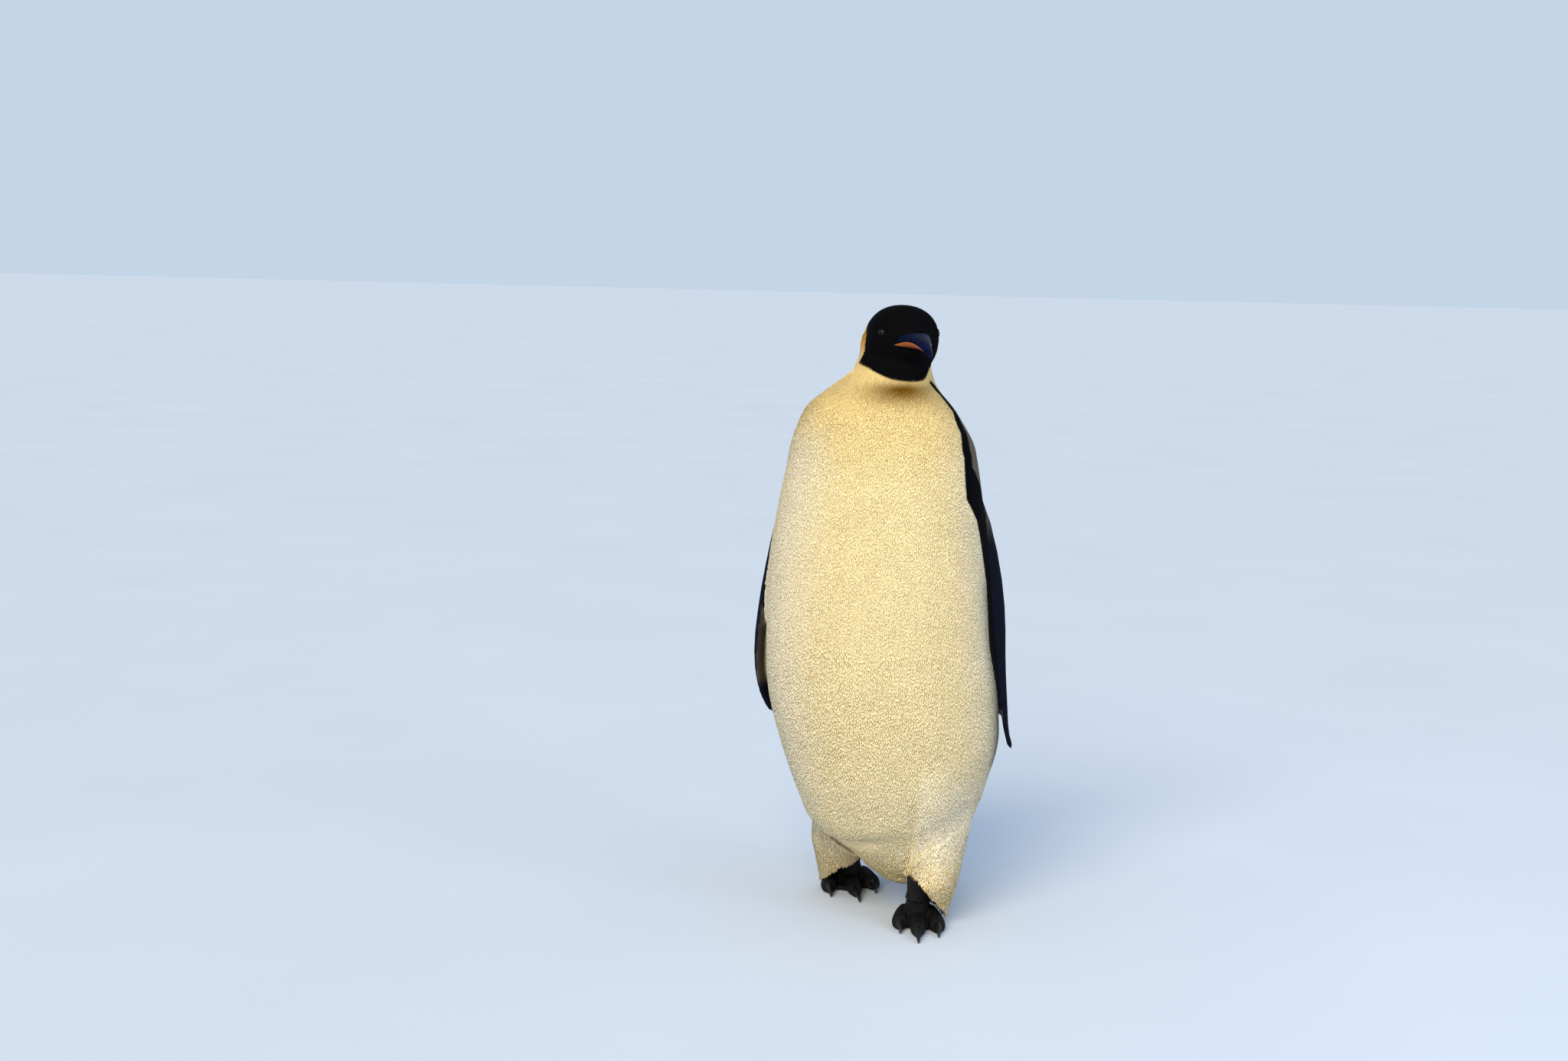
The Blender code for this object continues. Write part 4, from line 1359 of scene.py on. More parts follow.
    # The directions that the feathers lie by are evened out, more on the broad trunk and neck
    normal_rounds: int = 4
    broad_rounds: int = 20
    broad_height: Fade = Fade(0.20, 0.28)
    most_triangles: int = 190000
    flesh: tuple = (
        "trunk", "neck", "head", "leg_left", "leg_right", "tail", "flipper_left", "flipper_right",
    )
    feet: tuple = ("foot_left", "foot_right")
    obj: Object = field(init=False)
    zone: Array = field(init=False)
    centres: Array = field(init=False)
    smooth_normals: Array = field(init=False)
    trunk_faces: Array = field(init=False)
    foot_faces: Array = field(init=False)
    sole_faces: Array = field(init=False)
    hem: dict = field(default_factory=dict)  # the underside of each leg's cuff

    def nearest_nodes(self, points: Array) -> Array:
        """Name the CAD node of flesh or foot that lies nearest to each point.

        Args:
            points: places on the skin.

        Returns:
            One node's name for each point.
        """
        corners, faces, owners = [], [], []
        for node in (*self.flesh, *self.feet):
            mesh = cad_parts[node].data
            mesh.calc_loop_triangles()
            base = len(corners)
            corners.extend(v.co.copy() for v in mesh.vertices)
            for triangle in mesh.loop_triangles:
                faces.append([base + i for i in triangle.vertices])
                owners.append(node)
        tree = BVHTree.FromPolygons(corners, faces)
        return np.array([owners[tree.find_nearest(Vector(p))[2]] for p in points])

    def body(self) -> Object:
        """Make the body's skin from the solids of the flesh, drawn in by the coat's depth.

        Returns:
            The body's skin.
        """
        trunk = joined_nodes("trunk_form", ("trunk",), self.swell)
        remeshed(trunk, self.voxel, self.form_rounds)
        points = points_of(trunk.data)
        set_points(trunk.data, points + self.leg_gap(points, normals_of(trunk.data)))
        others = tuple(node for node in self.flesh if node != "trunk")
        obj = joined_nodes("skin", others, self.swell)
        work = bmesh.new()
        work.from_mesh(obj.data)
        work.from_mesh(trunk.data)
        work.to_mesh(obj.data)
        work.free()
        drop(trunk)
        remeshed(obj, self.voxel, self.form_rounds)
        mesh = obj.data
        edges = edges_of(mesh)
        points = points_of(mesh)
        nodes = self.nearest_nodes(points)
        share = np.array([self.smoothing.get(node, 0.0) for node in nodes])
        share = blurred(share, edges, self.smoothing_blur)
        high = self.smoothing_height.at(points[:, 2])
        share = share * (self.smoothing_low + (1.0 - self.smoothing_low) * high)
        points = evened(points, edges, self.smoothing_rounds, share[:, None])
        set_points(mesh, points)
        depth = self.coat_depth(points, nodes, edges)
        points = points - normals_of(mesh) * depth[:, None]
        set_points(mesh, points)
        points = self.blended_thighs(points, edges)
        set_points(mesh, points)
        set_points(mesh, points + self.belly_shape(points, normals_of(mesh)))
        return obj

    def coat_depth(self, points: Array, nodes: Array, edges: Array) -> Array:
        """Work out how deep the skin lies under the coat.

        Args:
            points: places on the skin.
            nodes: the CAD node that each place belongs to.
            edges: pairs of vertex numbers.

        Returns:
            One depth for each point.
        """
        depth = np.array([self.depths[node] for node in nodes])
        face = self.face_forward.at(self.anatomy.on_head(points)[:, 0])
        face = face * (points[:, 2] > self.face_lowest)
        depth = depth * (1.0 - face) + self.depth_face * face
        depth = blurred(depth, edges, self.depth_blur) + self.swell
        for eye in (self.anatomy.eye_left, self.anatomy.eye_right):
            near = self.eye_near.at(distance(points, eye))
            depth = depth * (1.0 - near) + self.depth_eye * near
        return depth

    def blended_thighs(self, points: Array, edges: Array) -> Array:
        """Fill the creases where the legs leave the trunk, as one coat runs over both.

        Args:
            points: the skin's vertices.
            edges: pairs of vertex numbers.

        Returns:
            The softened vertices.
        """
        legs = [self.distances(points, node) for node in ("leg_left", "leg_right")]
        farther = np.maximum(np.minimum(*legs), self.distances(points, "trunk"))
        weight = self.crease_fill * self.crease_near.at(farther)
        weight = (weight * self.crease_height.at(points[:, 2]))[:, None]
        for _ in range(self.crease_rounds):
            points = points + weight * (averaged(points, edges) - points)
        return points

    def distances(self, points: Array, node: str) -> Array:
        """Measure how far each point is from a CAD node's surface, up to a limit.

        Args:
            points: the points.
            node: the node's name.

        Returns:
            One distance for each point.
        """
        tree = surface_tree(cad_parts[node].data)
        low, high = (np.array(corner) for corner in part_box(node))
        limit = self.far_away
        near = np.all((points > low - limit) & (points < high + limit), axis=1)
        far = np.full(len(points), limit)
        for number in np.nonzero(near)[0]:
            far[number] = tree.find_nearest(Vector(points[number]))[3]
        return far

    def leg_gap(self, points: Array, normals: Array) -> Array:
        """Draw the trunk's front back below the belly's edge, over the gap between the legs.

        Args:
            points: the trunk's vertices.
            normals: their normals.

        Returns:
            How far each vertex moves.
        """
        x, _, height = points.T
        front = np.maximum(self.facing_front.at(normals[:, 1]), self.lowest_trunk.at(height))
        soft = self.arch_soft + self.arch_softer * self.arch_soft_x.at(x)
        recess = self.arch_left.at(x) * self.arch_right.at(x)
        recess = recess * ramp(0.0, soft, read_table(self.arch, x) - height) * front
        recess = recess * (self.arch_depth + self.arch_deeper * self.arch_depth_x.at(x))
        return recess[:, None] * BACKWARD

    def belly_shape(self, points: Array, normals: Array) -> Array:
        """Round the near thigh and the flank, with the crease between thigh and belly.

        Args:
            points: the skin's vertices.
            normals: their normals.

        Returns:
            How far each vertex moves.
        """
        x, _, height = points.T
        front = self.facing_front.at(normals[:, 1])
        thigh = self.thigh_swell * bell(self.thigh_x, self.thigh_half, x)
        thigh = thigh * self.thigh_low.at(height) * self.thigh_high.at(height)
        crease = self.crease_depth * bell(self.crease_x, self.crease_half, x)
        crease = crease * self.crease_low.at(height) * self.crease_high.at(height)
        flank = bell(self.flank_turn, self.flank_half, self.anatomy.body_turn(points))
        flank = flank * self.flank_low.at(height) * self.flank_high.at(height)
        flank = self.flank_swell * flank * (x < self.flipper_x)
        return ((crease - thigh) * front)[:, None] * BACKWARD + flank[:, None] * normals

    def foot(self, node: str) -> Object:
        """Make one bare foot, with its shank run up inside the leg.

        Args:
            node: the foot's CAD node.

        Returns:
            The foot as one closed surface.
        """
        obj = joined_nodes(node + "_skin", (node,))
        points = points_of(obj.data)
        top = points[:, 2].max()
        start = Vector(points[points[:, 2] > self.crown_low * top].mean(axis=0))
        start.z = self.shank_low * top
        lean = (self.anatomy.middle_of(node.replace("foot", "leg")) - start) * self.shank_lean
        end = start + Vector((lean.x, lean.y, self.shank_rise))
        work = bmesh.new()
        work.from_mesh(obj.data)
        turn = Vector((0, 0, 1)).rotation_difference(end - start).to_matrix().to_4x4()
        bmesh.ops.create_cone(
            work, cap_ends=True, segments=self.shank_sides, radius1=self.shank_radius,
            radius2=self.shank_radius * self.shank_taper, depth=(end - start).length,
            matrix=Matrix.Translation((start + end) / 2) @ turn,
        )
        work.to_mesh(obj.data)
        work.free()
        remeshed(obj, self.foot_voxel, self.foot_rounds)
        lifted(obj, self.floor_gap)
        return obj

    def lid(self, side: float) -> Object:
        """Make the ring of lid skin round one eye: an almond that hugs the ball.

        Args:
            side: 1 for the left eye, -1 for the right one.

        Returns:
            The ring.
        """
        ball = Eye(self.anatomy, side)
        out, ahead, above = ball.axes()
        work = bmesh.new()
        rings = []
        for i in range(self.lid_steps):
            turn = 2 * math.pi * i / self.lid_steps
            across = self.lid_half_length * math.cos(turn)
            reach = math.hypot(across, self.lid_half_height * math.sin(turn))
            around = ahead * math.cos(turn) + above * math.sin(turn)
            opening = math.asin(reach / ball.radius)
            ring = []
            for past_edge, rise in self.lid_section:
                angle = opening + past_edge
                direction = out * math.cos(angle) + around * math.sin(angle)
                ring.append(work.verts.new(ball.middle + direction * (ball.radius + rise)))
            rings.append(ring)
        for ring, after in zip(rings, rings[1:] + rings[:1]):
            for k, corner in enumerate(ring):
                m = (k + 1) % len(ring)
                work.faces.new((corner, ring[m], after[m], after[k]))
        bmesh.ops.recalc_face_normals(work, faces=work.faces)
        return mesh_object("lid", work)

    def build(self) -> None:
        """Join body, feet and lids into one closed skin and mark out its zones."""
        self.obj = self.body()
        extras = [self.foot(node) for node in self.feet]
        extras += [self.lid(side) for side in SIDES.values()]
        for extra in extras:
            with_modifier(self.obj, "BOOLEAN", operation="UNION", solver="MANIFOLD", object=extra)
            drop(extra)
        self.obj.data.shade_smooth()
        self.mark_zones()
        self.even_normals()

    def mark_zones(self) -> None:
        """Give every face of the skin its zone."""
        mesh = self.obj.data
        centres = numbers(mesh.polygons, "center", 3)
        nodes = self.nearest_nodes(centres)
        height = centres[:, 2]
        back = np.abs(self.anatomy.body_turn(centres) + self.back_shift) > self.back_turn
        zone = np.full(len(centres), Zone.BREAST.value, dtype=object)
        trunk, neck, head = nodes == "trunk", nodes == "neck", nodes == "head"
        zone[trunk & (height < self.belly_top)] = Zone.BELLY.value
        zone[trunk & back] = Zone.BACK.value
        zone[trunk & back & (height < self.rump_top)] = Zone.RUMP.value
        # Neck and trunk feathers mix over a band, so that no line shows between them
        draw = np.random.default_rng(self.mix_seed)
        high = height > self.neck_low + draw.uniform(-self.mix_band, self.mix_band, len(centres))
        zone[(trunk | neck) & high] = Zone.NECK.value
        zone[neck & ~high & back] = Zone.BACK.value
        zone[neck & ~high & ~back] = Zone.BREAST.value
        zone[head | (neck & (self.markings.hood(centres) > 0.5))] = Zone.HOOD.value
        forward = self.anatomy.on_head(centres)[:, 0]
        zone[head & (forward > self.face_start)] = Zone.FACE.value
        for side in SIDES.values():
            ball = Eye(self.anatomy, side)
            off = centres - np.array(ball.middle)
            away = distance(centres, ball.middle)
            zone[away < self.face_round_eye] = Zone.FACE.value
            facing = unit(off) @ np.array(ball.axes()[0])
            inner = (facing > math.cos(self.bare_lid)) | (away < ball.radius + ball.lid_gap)
            zone[(away < self.bare_round_eye) & inner] = Zone.BARE.value
        for name in ("leg_left", "leg_right", "tail", "flipper_left", "flipper_right"):
            zone[nodes == name] = name
        self.foot_faces = np.isin(nodes, self.feet)
        zone[self.foot_faces] = Zone.BARE.value
        normals = numbers(mesh.polygons, "normal", 3)
        self.sole_faces = np.zeros(len(centres), dtype=bool)
        for name, cuff in self.cuffs.items():
            sole = cuff.bare(centres, normals, self.cuff_under) & (zone == name)
            self.hem[name] = centres[sole]
            self.sole_faces |= sole
            zone[sole] = Zone.BARE.value
        self.zone, self.centres = zone, centres
        self.trunk_faces = trunk | neck

    def even_normals(self) -> None:
        """Even out the directions that the feathers lie by."""
        mesh = self.obj.data
        edges = edges_of(mesh)
        near = blurred(normals_of(mesh), edges, self.normal_rounds)
        broad = blurred(near, edges, self.broad_rounds)
        share = self.on_vertices(self.trunk_faces) * self.broad_height.at(points_of(mesh)[:, 2])
        share = blurred(share, edges, self.normal_rounds)[:, None]
        self.smooth_normals = unit(near * (1.0 - share) + broad * share)

    def on_vertices(self, chosen: Array) -> Array:
        """Say which share of the faces round each vertex is chosen.

        Args:
            chosen: true or false for each face.

        Returns:
            One share for each vertex.
        """
        mesh = self.obj.data
        corners = corners_of(mesh)
        sizes = numbers(mesh.polygons, "loop_total", 1, np.int64)
        count = len(mesh.vertices)
        total = np.bincount(corners, weights=np.repeat(chosen, sizes), minlength=count)
        return total / np.maximum(np.bincount(corners, minlength=count), 1)

    def dress(self, feathers: Material, foot: Material) -> None:
        """Give the skin its markings and its two materials.

        Args:
            feathers: the finish where a coat grows.
            foot: the finish of the bare feet.
        """
        mesh = self.obj.data
        points = points_of(mesh)
        marks, tints = self.markings.pattern(points, self.nearest_nodes(points))
        for eye in (self.anatomy.eye_left, self.anatomy.eye_right):
            marks[distance(points, eye) < self.lid_black] = BLACK_MARK
        marks[self.on_vertices(self.sole_faces) > 0.5] = BLACK_MARK
        set_attribute(mesh, "marks", marks)
        set_attribute(mesh, "tints", tints)
        mesh.materials.clear()
        mesh.materials.append(feathers)
        mesh.materials.append(foot)
        mesh.polygons.foreach_set("material_index", self.foot_faces.astype(np.int32))

    def place(self) -> None:
        """Thin the skin out where the coat hides it, and put it in its place."""
        mesh = self.obj.data
        hidden = self.on_vertices(self.zone != Zone.BARE.value) > 0.99
        group = self.obj.vertex_groups.new(name="hidden")
        group.add(np.nonzero(hidden)[0].tolist(), 1.0, "REPLACE")
        mesh.calc_loop_triangles()
        ratio = self.most_triangles / len(mesh.loop_triangles)
        with_modifier(self.obj, "DECIMATE", ratio=ratio, vertex_group=group.name)
        self.obj.vertex_groups.clear()
        put_in_place(self.obj, RecordSlot.PALE, *self.flesh, *self.feet)


# ----- Coat -----


@dataclass(frozen=True)
class Vane:
    """Size and lie of the feathers of one zone; lengths are millimetres."""

    zone: Zone
    slot: RecordSlot
    spacing: float
    length: float
    width: float
    thickness: float
    lift: float  # how far a vane stands up from the skin, in degrees
    ruffle: float  # how far it may turn to either side, in degrees
    fine: bool  # a rounder vane of twelve faces in place of six
    seed: int

    @property
    def corners(self) -> int:
        """Return how many vertices one vane has."""
        return 8 if self.fine else 5


@dataclass(frozen=True)
class Growth:
    """How the size of a zone's feathers changes along it."""

    base: float
    gain: float
    fade: Fade
    on_head: bool = False  # the fade runs forward on the head, not by height


@dataclass
class CoatTree:
    """The Geometry Nodes tree that scatters vanes over a surface and lays them down.

    The surface carries flow, the way the feathers point, lay, the direction they lie under, and
    size.  Neighbours turn and rise together, in streams and ridges that run down the coat.
    """

    stream_mm: float = 26.0  # width of the streams in which feathers turn together
    stream_turn: float = 4.0
    ridge_mm: tuple = (3.4, 3.4, 42.0)  # size of the ridges in which they rise together
    ridge_rise: tuple = (0.5, 0.75)  # the noise's share of the lift, and the rest of it
    densest: float = 1.0e7
    # What is drawn for each vane: lowest, highest, and the number added to the seed
    luck: tuple = (0.0, 1.0, 3)
    own_turn: tuple = (-1.0, 1.0, 5)
    own_turn_share: float = 0.25
    own_rise: tuple = (0.93, 1.07, 7)
    own_size: tuple = (0.82, 1.18, 9)
    inputs: tuple = (
        ("Geometry", "Geometry"), ("Vane", "Object"), ("Spacing", "Float"), ("Length", "Float"),
        ("Width", "Float"), ("Thickness", "Float"), ("Lift", "Float"), ("Ruffle", "Float"),
        ("Sink", "Float"), ("Seed", "Int"), ("Finish", "Material"),
    )
    add: partial = field(init=False)
    given: bpy.types.bpy_prop_collection = field(init=False)

    def build(self) -> NodeTree:
        """Make the tree.

        Returns:
            The tree, with a named input for each size.
        """
        tree = bpy.data.node_groups.new("feather coat", "GeometryNodeTree")
        self.add = add = partial(add_node, tree)
        for name, kind in self.inputs:
            tree.interface.new_socket(name=name, in_out="INPUT", socket_type="NodeSocket" + kind)
        tree.interface.new_socket(name="Geometry", in_out="OUTPUT", socket_type="NodeSocketGeometry")
        self.given = add("NodeGroupInput").outputs
        flow, lay, size = (
            add("GeometryNodeInputNamedAttribute", {"Name": name}, data_type=kind)
            for name, kind in (("flow", "FLOAT_VECTOR"), ("lay", "FLOAT_VECTOR"), ("size", "FLOAT"))
        )
        place = add("GeometryNodeInputPosition")
        source = add(
            "GeometryNodeObjectInfo", {"Object": self.given["Vane"]}, transform_space="ORIGINAL",
        ).outputs["Geometry"]
        rotation = add(
            "FunctionNodeAxesToRotation",
            {"Primary Axis": self.aim(place, flow, lay), "Secondary Axis": lay},
            primary_axis="X", secondary_axis="Z",
        )
        laid = add(
            "GeometryNodeInstanceOnPoints",
            {"Points": self.roots(place, lay), "Instance": source, "Rotation": rotation,
             "Scale": self.scale(size)},
        )
        real = add("GeometryNodeRealizeInstances", {"Geometry": laid})
        dressed = add("GeometryNodeSetMaterial", {"Geometry": real, "Material": self.given["Finish"]})
        add("NodeGroupOutput", {0: dressed})
        return tree

    def drawn(self, draw: tuple[float, float, int]) -> NodeSocket:
        """Draw a number for each vane.

        Args:
            draw: the lowest and the highest number, and what is added to the seed.

        Returns:
            The socket that gives it.
        """
        low, high, salt = draw
        seed = self.add("ShaderNodeMath", {0: self.given["Seed"], 1: float(salt)}, operation="ADD")
        return self.add("FunctionNodeRandomValue", {2: low, 3: high, 8: seed}, data_type="FLOAT").outputs[1]

    def roots(self, place: Node, lay: Node) -> Node:
        """Scatter the roots, note what each vane is, and sink them in the skin.

        Args:
            place: where each root is.
            lay: the direction that the feathers lie under.

        Returns:
            The node that gives the points.
        """
        add, given = self.add, self.given
        points = add(
            "GeometryNodeDistributePointsOnFaces",
            {"Mesh": given["Geometry"], "Distance Min": given["Spacing"],
             "Density Max": self.densest, "Seed": given["Seed"]},
            distribute_method="POISSON",
        )
        for name, value, kind in (
            ("root", place, "FLOAT_VECTOR"), ("luck", self.drawn(self.luck), "FLOAT"),
        ):
            points = add(
                "GeometryNodeStoreNamedAttribute",
                {"Geometry": points, "Name": name, "Value": value}, data_type=kind, domain="POINT",
            )
        depth = add("ShaderNodeMath", {0: given["Sink"], 1: -1.0}, operation="MULTIPLY")
        inward = add("ShaderNodeVectorMath", {0: lay, 3: depth}, operation="SCALE")
        return add("GeometryNodeSetPosition", {"Geometry": points, "Offset": inward})

    def aim(self, place: Node, flow: Node, lay: Node) -> Node:
        """Turn each vane aside from the flow and lift it from the skin.

        Args:
            place: where each root is.
            flow: the way the feathers point.
            lay: the direction that they lie under.

        Returns:
            The node that gives each vane's direction.
        """
        add, given = self.add, self.given
        streams = add(
            "ShaderNodeTexNoise", {"Vector": place, "Scale": 1000.0 / self.stream_mm, "Detail": 1.0},
        )
        drawn = add(
            "ShaderNodeVectorMath",
            {0: place, 1: tuple(1000.0 / size for size in self.ridge_mm)}, operation="MULTIPLY",
        )
        ridges = add("ShaderNodeTexNoise", {"Vector": drawn, "Scale": 1.0, "Detail": 1.0})
        stream = add(
            "ShaderNodeMath",
            {0: streams, 1: self.stream_turn, 2: -0.5 * self.stream_turn}, operation="MULTIPLY_ADD",
        )
        turn = add(
            "ShaderNodeMath", {0: self.drawn(self.own_turn), 1: self.own_turn_share, 2: stream},
            operation="MULTIPLY_ADD",
        )
        turn = add("ShaderNodeMath", {0: given["Ruffle"], 1: turn}, operation="MULTIPLY")
        share, rest = self.ridge_rise
        ridge = add("ShaderNodeMath", {0: ridges, 1: share, 2: rest}, operation="MULTIPLY_ADD")
        rise = add("ShaderNodeMath", {0: given["Lift"], 1: ridge}, operation="MULTIPLY")
        rise = add("ShaderNodeMath", {0: rise, 1: self.drawn(self.own_rise)}, operation="MULTIPLY")
        side = add("ShaderNodeVectorMath", {0: lay, 1: flow}, operation="CROSS_PRODUCT")
        aim = flow
        for way, angle in ((side, turn), (lay, rise)):
            slope = add("ShaderNodeMath", {0: angle}, operation="TANGENT")
            step = add("ShaderNodeVectorMath", {0: way, 3: slope}, operation="SCALE")
            aim = add("ShaderNodeVectorMath", {0: aim, 1: step}, operation="ADD")
        return aim

    def scale(self, size: Node) -> Node:
        """Give each vane its length, width and thickness.

        Args:
            size: the size of the feathers at each root.

        Returns:
            The node that gives the scale.
        """
        add, given = self.add, self.given
        large = add("ShaderNodeMath", {0: size, 1: self.drawn(self.own_size)}, operation="MULTIPLY")
        length, width = (
            add("ShaderNodeMath", {0: given[name], 1: large}, operation="MULTIPLY")
            for name in ("Length", "Width")
        )
        return add("ShaderNodeCombineXYZ", {0: length, 1: width, 2: given["Thickness"]})


@dataclass
class Plumage:
    """The coat: feather vanes laid over the skin, one piece for each zone."""

    anatomy: Anatomy
    skin: Skin
    material: Material
    # A fringe's roots lie near the edge of the cuff, on faces that look neither down nor inward
    fringe_reach: float = 0.011
    fringe_under: float = -0.12
    # Each fringe: its leg, the leg's side, and how far inward its faces may look
    fringes: dict = field(default_factory=lambda: {
        Zone.FRINGE_LEFT: ("leg_left", 1.0, -0.12), Zone.FRINGE_RIGHT: ("leg_right", -1.0, -0.15),
    })
    cuff_droop: float = -0.25  # the feathers of a cuff lie under nothing lower than this
    shown: float = 0.8  # the share of a vane's length where its bare end lies
    sink: float = 0.018  # a root lies this share of the vane's length in the skin
    coarse: float = 1.7
    streak: float = 0.35  # how far feathers differ in whiteness
    leg_streak: float = 1.1  # the same on the legs
    lucky: float = 0.45  # a vane with less luck than this is less white
    thigh_x: Fade = Fade(0.040, 0.065)
    thigh_height: Fade = Fade(0.30, 0.20)
    lobe_x: Fade = Fade(-0.040, 0.0)  # the belly's edge over the gap
    lobe_height: Fade = Fade(0.165, 0.14)
    lobe_share: float = 0.8
    bill_base: tuple = (0.086, 0.016)  # forward and up on the head
    neck_down: Fade = Fade(0.985, 0.935)  # feathers point back above, and down below
    head_down: Fade = Fade(0.00, -0.07)
    low_down: Fade = Fade(0.16, 0.05)
    leans: dict = field(default_factory=lambda: {
        Zone.FLIPPER_LEFT: (0.10, 0.30, 0.0), Zone.FLIPPER_RIGHT: (-0.10, 0.30, 0.0),
        Zone.TAIL: (0.07, 0.36, 0.0), Zone.BELLY: (0.06, 0.45, 0.0), Zone.RUMP: (0.06, 0.45, 0.0),
    })
    growths: dict = field(default_factory=lambda: {
        Zone.FACE: Growth(1.0, -0.45, Fade(0.050, 0.072), True),
        Zone.HOOD: Growth(0.75, 0.35, Fade(0.03, -0.05), True),
        Zone.NECK: Growth(0.72, 0.50, Fade(0.950, 0.880)), Zone.BELLY: Growth(1.0, 0.5, Fade(0.15, 0.09)),
        Zone.FLIPPER_LEFT: Growth(0.8, 0.7, Fade(0.60, 0.74)),
        Zone.FLIPPER_RIGHT: Growth(0.8, 0.7, Fade(0.60, 0.74)),
    })
    eye_fade: Fade = Fade(0.0165, 0.0110)  # feathers are shorter round the eye
    eye_gain: float = -0.45
    floor_gap: float = 0.0015  # no vane comes nearer to the floor
    longest: float = 1.22  # the longest vane, against its zone's length
    shortest: float = 0.05
    vanes: tuple = (
        Vane(Zone.FACE, RecordSlot.BLACK, 1.05, 3.6, 1.4, 0.24, 13.0, 8.0, True, 11),
        Vane(Zone.HOOD, RecordSlot.BLACK, 1.50, 6.0, 2.0, 0.30, 11.5, 8.0, True, 12),
        Vane(Zone.NECK, RecordSlot.YELLOW, 1.85, 8.5, 2.4, 0.26, 9.0, 8.0, True, 13),
        Vane(Zone.BREAST, RecordSlot.PALE, 2.08, 10.5, 2.7, 0.26, 7.0, 7.0, False, 14),
        Vane(Zone.BELLY, RecordSlot.PALE, 2.32, 12.0, 3.0, 0.26, 7.0, 7.0, False, 15),
        Vane(Zone.BACK, RecordSlot.BLACK, 2.15, 10.0, 3.0, 0.32, 9.0, 7.0, False, 16),
        Vane(Zone.RUMP, RecordSlot.BLACK, 2.25, 10.5, 3.1, 0.32, 9.0, 8.0, False, 17),
        Vane(Zone.LEG_LEFT, RecordSlot.PALE, 1.55, 15.0, 1.9, 0.32, 9.0, 12.0, False, 18),
        Vane(Zone.LEG_RIGHT, RecordSlot.PALE, 1.55, 15.0, 1.9, 0.32, 9.0, 12.0, False, 19),
        Vane(Zone.FRINGE_LEFT, RecordSlot.PALE, 1.60, 13.0, 1.7, 0.36, 3.5, 12.0, True, 23),
        Vane(Zone.FRINGE_RIGHT, RecordSlot.PALE, 1.60, 13.0, 1.7, 0.36, 4.0, 12.0, True, 24),
        Vane(Zone.TAIL, RecordSlot.BLACK, 3.00, 30.0, 5.0, 0.70, 3.0, 4.0, True, 20),
        Vane(Zone.FLIPPER_LEFT, RecordSlot.BLACK, 1.70, 3.9, 2.2, 0.24, 6.0, 4.0, False, 21),
        Vane(Zone.FLIPPER_RIGHT, RecordSlot.BLACK, 1.70, 3.9, 2.2, 0.24, 6.0, 4.0, False, 22),
    )

    def lie(self, points: Array, zone: Zone) -> Array:
        """Give the way the feathers point at each place, before it is laid on the skin.

        Args:
            points: places on the skin.
            zone: the zone they are in.

        Returns:
            A direction for each place.
        """
        down = np.tile(DOWN, (len(points), 1))
        if zone in (*HEAD_ZONES, Zone.NECK):
            away = unit(points - self.anatomy.from_head(*self.bill_base))
            share = self.neck_down.at(points[:, 2])[:, None]
            back = self.head_down.at(self.anatomy.on_head(points)[:, 0])[:, None]
            share = np.maximum(share, back)
            return unit(away * (1.0 - share) + down * share)
        lean = np.array([self.leans.get(zone, (0.0, 0.0, 0.0))])
        if zone in (Zone.BELLY, Zone.RUMP):
            lean = lean * self.low_down.at(points[:, 2])[:, None]
        return down + lean

    @staticmethod
    def vane_object(fine: bool) -> Object:
        """Make one closed vane of length, width and thickness 1, with its root at the origin.

        Args:
            fine: whether it has two rings in place of one.

        Returns:
            The vane, pointing along +X with its face to +Z.
        """
        # Each ring: place along the vane, width, height
        rings = ((0.36, 0.86, 0.9), (0.78, 0.80, 0.8)) if fine else ((0.70, 1.0, 1.0),)
        work = bmesh.new()
        root = work.verts.new((0.0, 0.0, 0.0))
        tip = work.verts.new((1.0, 0.0, -0.15))
        loops = []
        for place, width, rise in rings:
            ring = ((place, width / 2, 0.0), (place, 0.0, rise), (place, -width / 2, 0.0))
            loops.append([work.verts.new(corner) for corner in ring])
        for k in range(3):
            m = (k + 1) % 3
            work.faces.new((root, loops[0][k], loops[0][m]))
            work.faces.new((tip, loops[-1][m], loops[-1][k]))
            for lower, upper in zip(loops, loops[1:]):
                work.faces.new((lower[k], upper[k], upper[m]))
                work.faces.new((lower[k], upper[m], lower[m]))
        bmesh.ops.recalc_face_normals(work, faces=work.faces)
        obj = mesh_object("vane", work)
        obj.data.shade_smooth()
        along, across, rise = points_of(obj.data).T
        set_attribute(obj.data, "blade", np.stack((along, across + 0.5, rise), axis=1))
        return obj

    def ground(self, vane: Vane) -> Object:
        """Copy the skin's faces of one zone, with the lie of the feathers on them.

        Args:
            vane: the zone's feathers.

        Returns:
            An open surface that carries flow, lay and size.
        """
        skin = self.skin.obj.data
        used: dict[int, int] = {}
        faces = []
        for number in np.nonzero(self.faces_of(vane.zone))[0]:
            corners = skin.polygons[int(number)].vertices
            faces.append([used.setdefault(i, len(used)) for i in corners])
        kept = np.array(list(used))
        points, lay = points_of(skin)[kept], self.skin.smooth_normals[kept]
        mesh = bpy.data.meshes.new("ground")
        mesh.from_pydata(points.tolist(), [], faces)
        mesh.update()
        if vane.zone in CUFF_ZONES:
            # The feathers of the cuffs hang down past the rolled edge
            raised = np.maximum(lay[:, 2], self.cuff_droop)
            lay = unit(np.stack((lay[:, 0], lay[:, 1], raised), axis=1))
        flow = self.lie(points, vane.zone)
        flow = unit(flow - lay * np.sum(flow * lay, axis=1, keepdims=True))
        set_attribute(mesh, "flow", flow)
        set_attribute(mesh, "lay", lay)
        set_attribute(mesh, "size", self.size(points, vane))
        return new_object("ground", mesh)

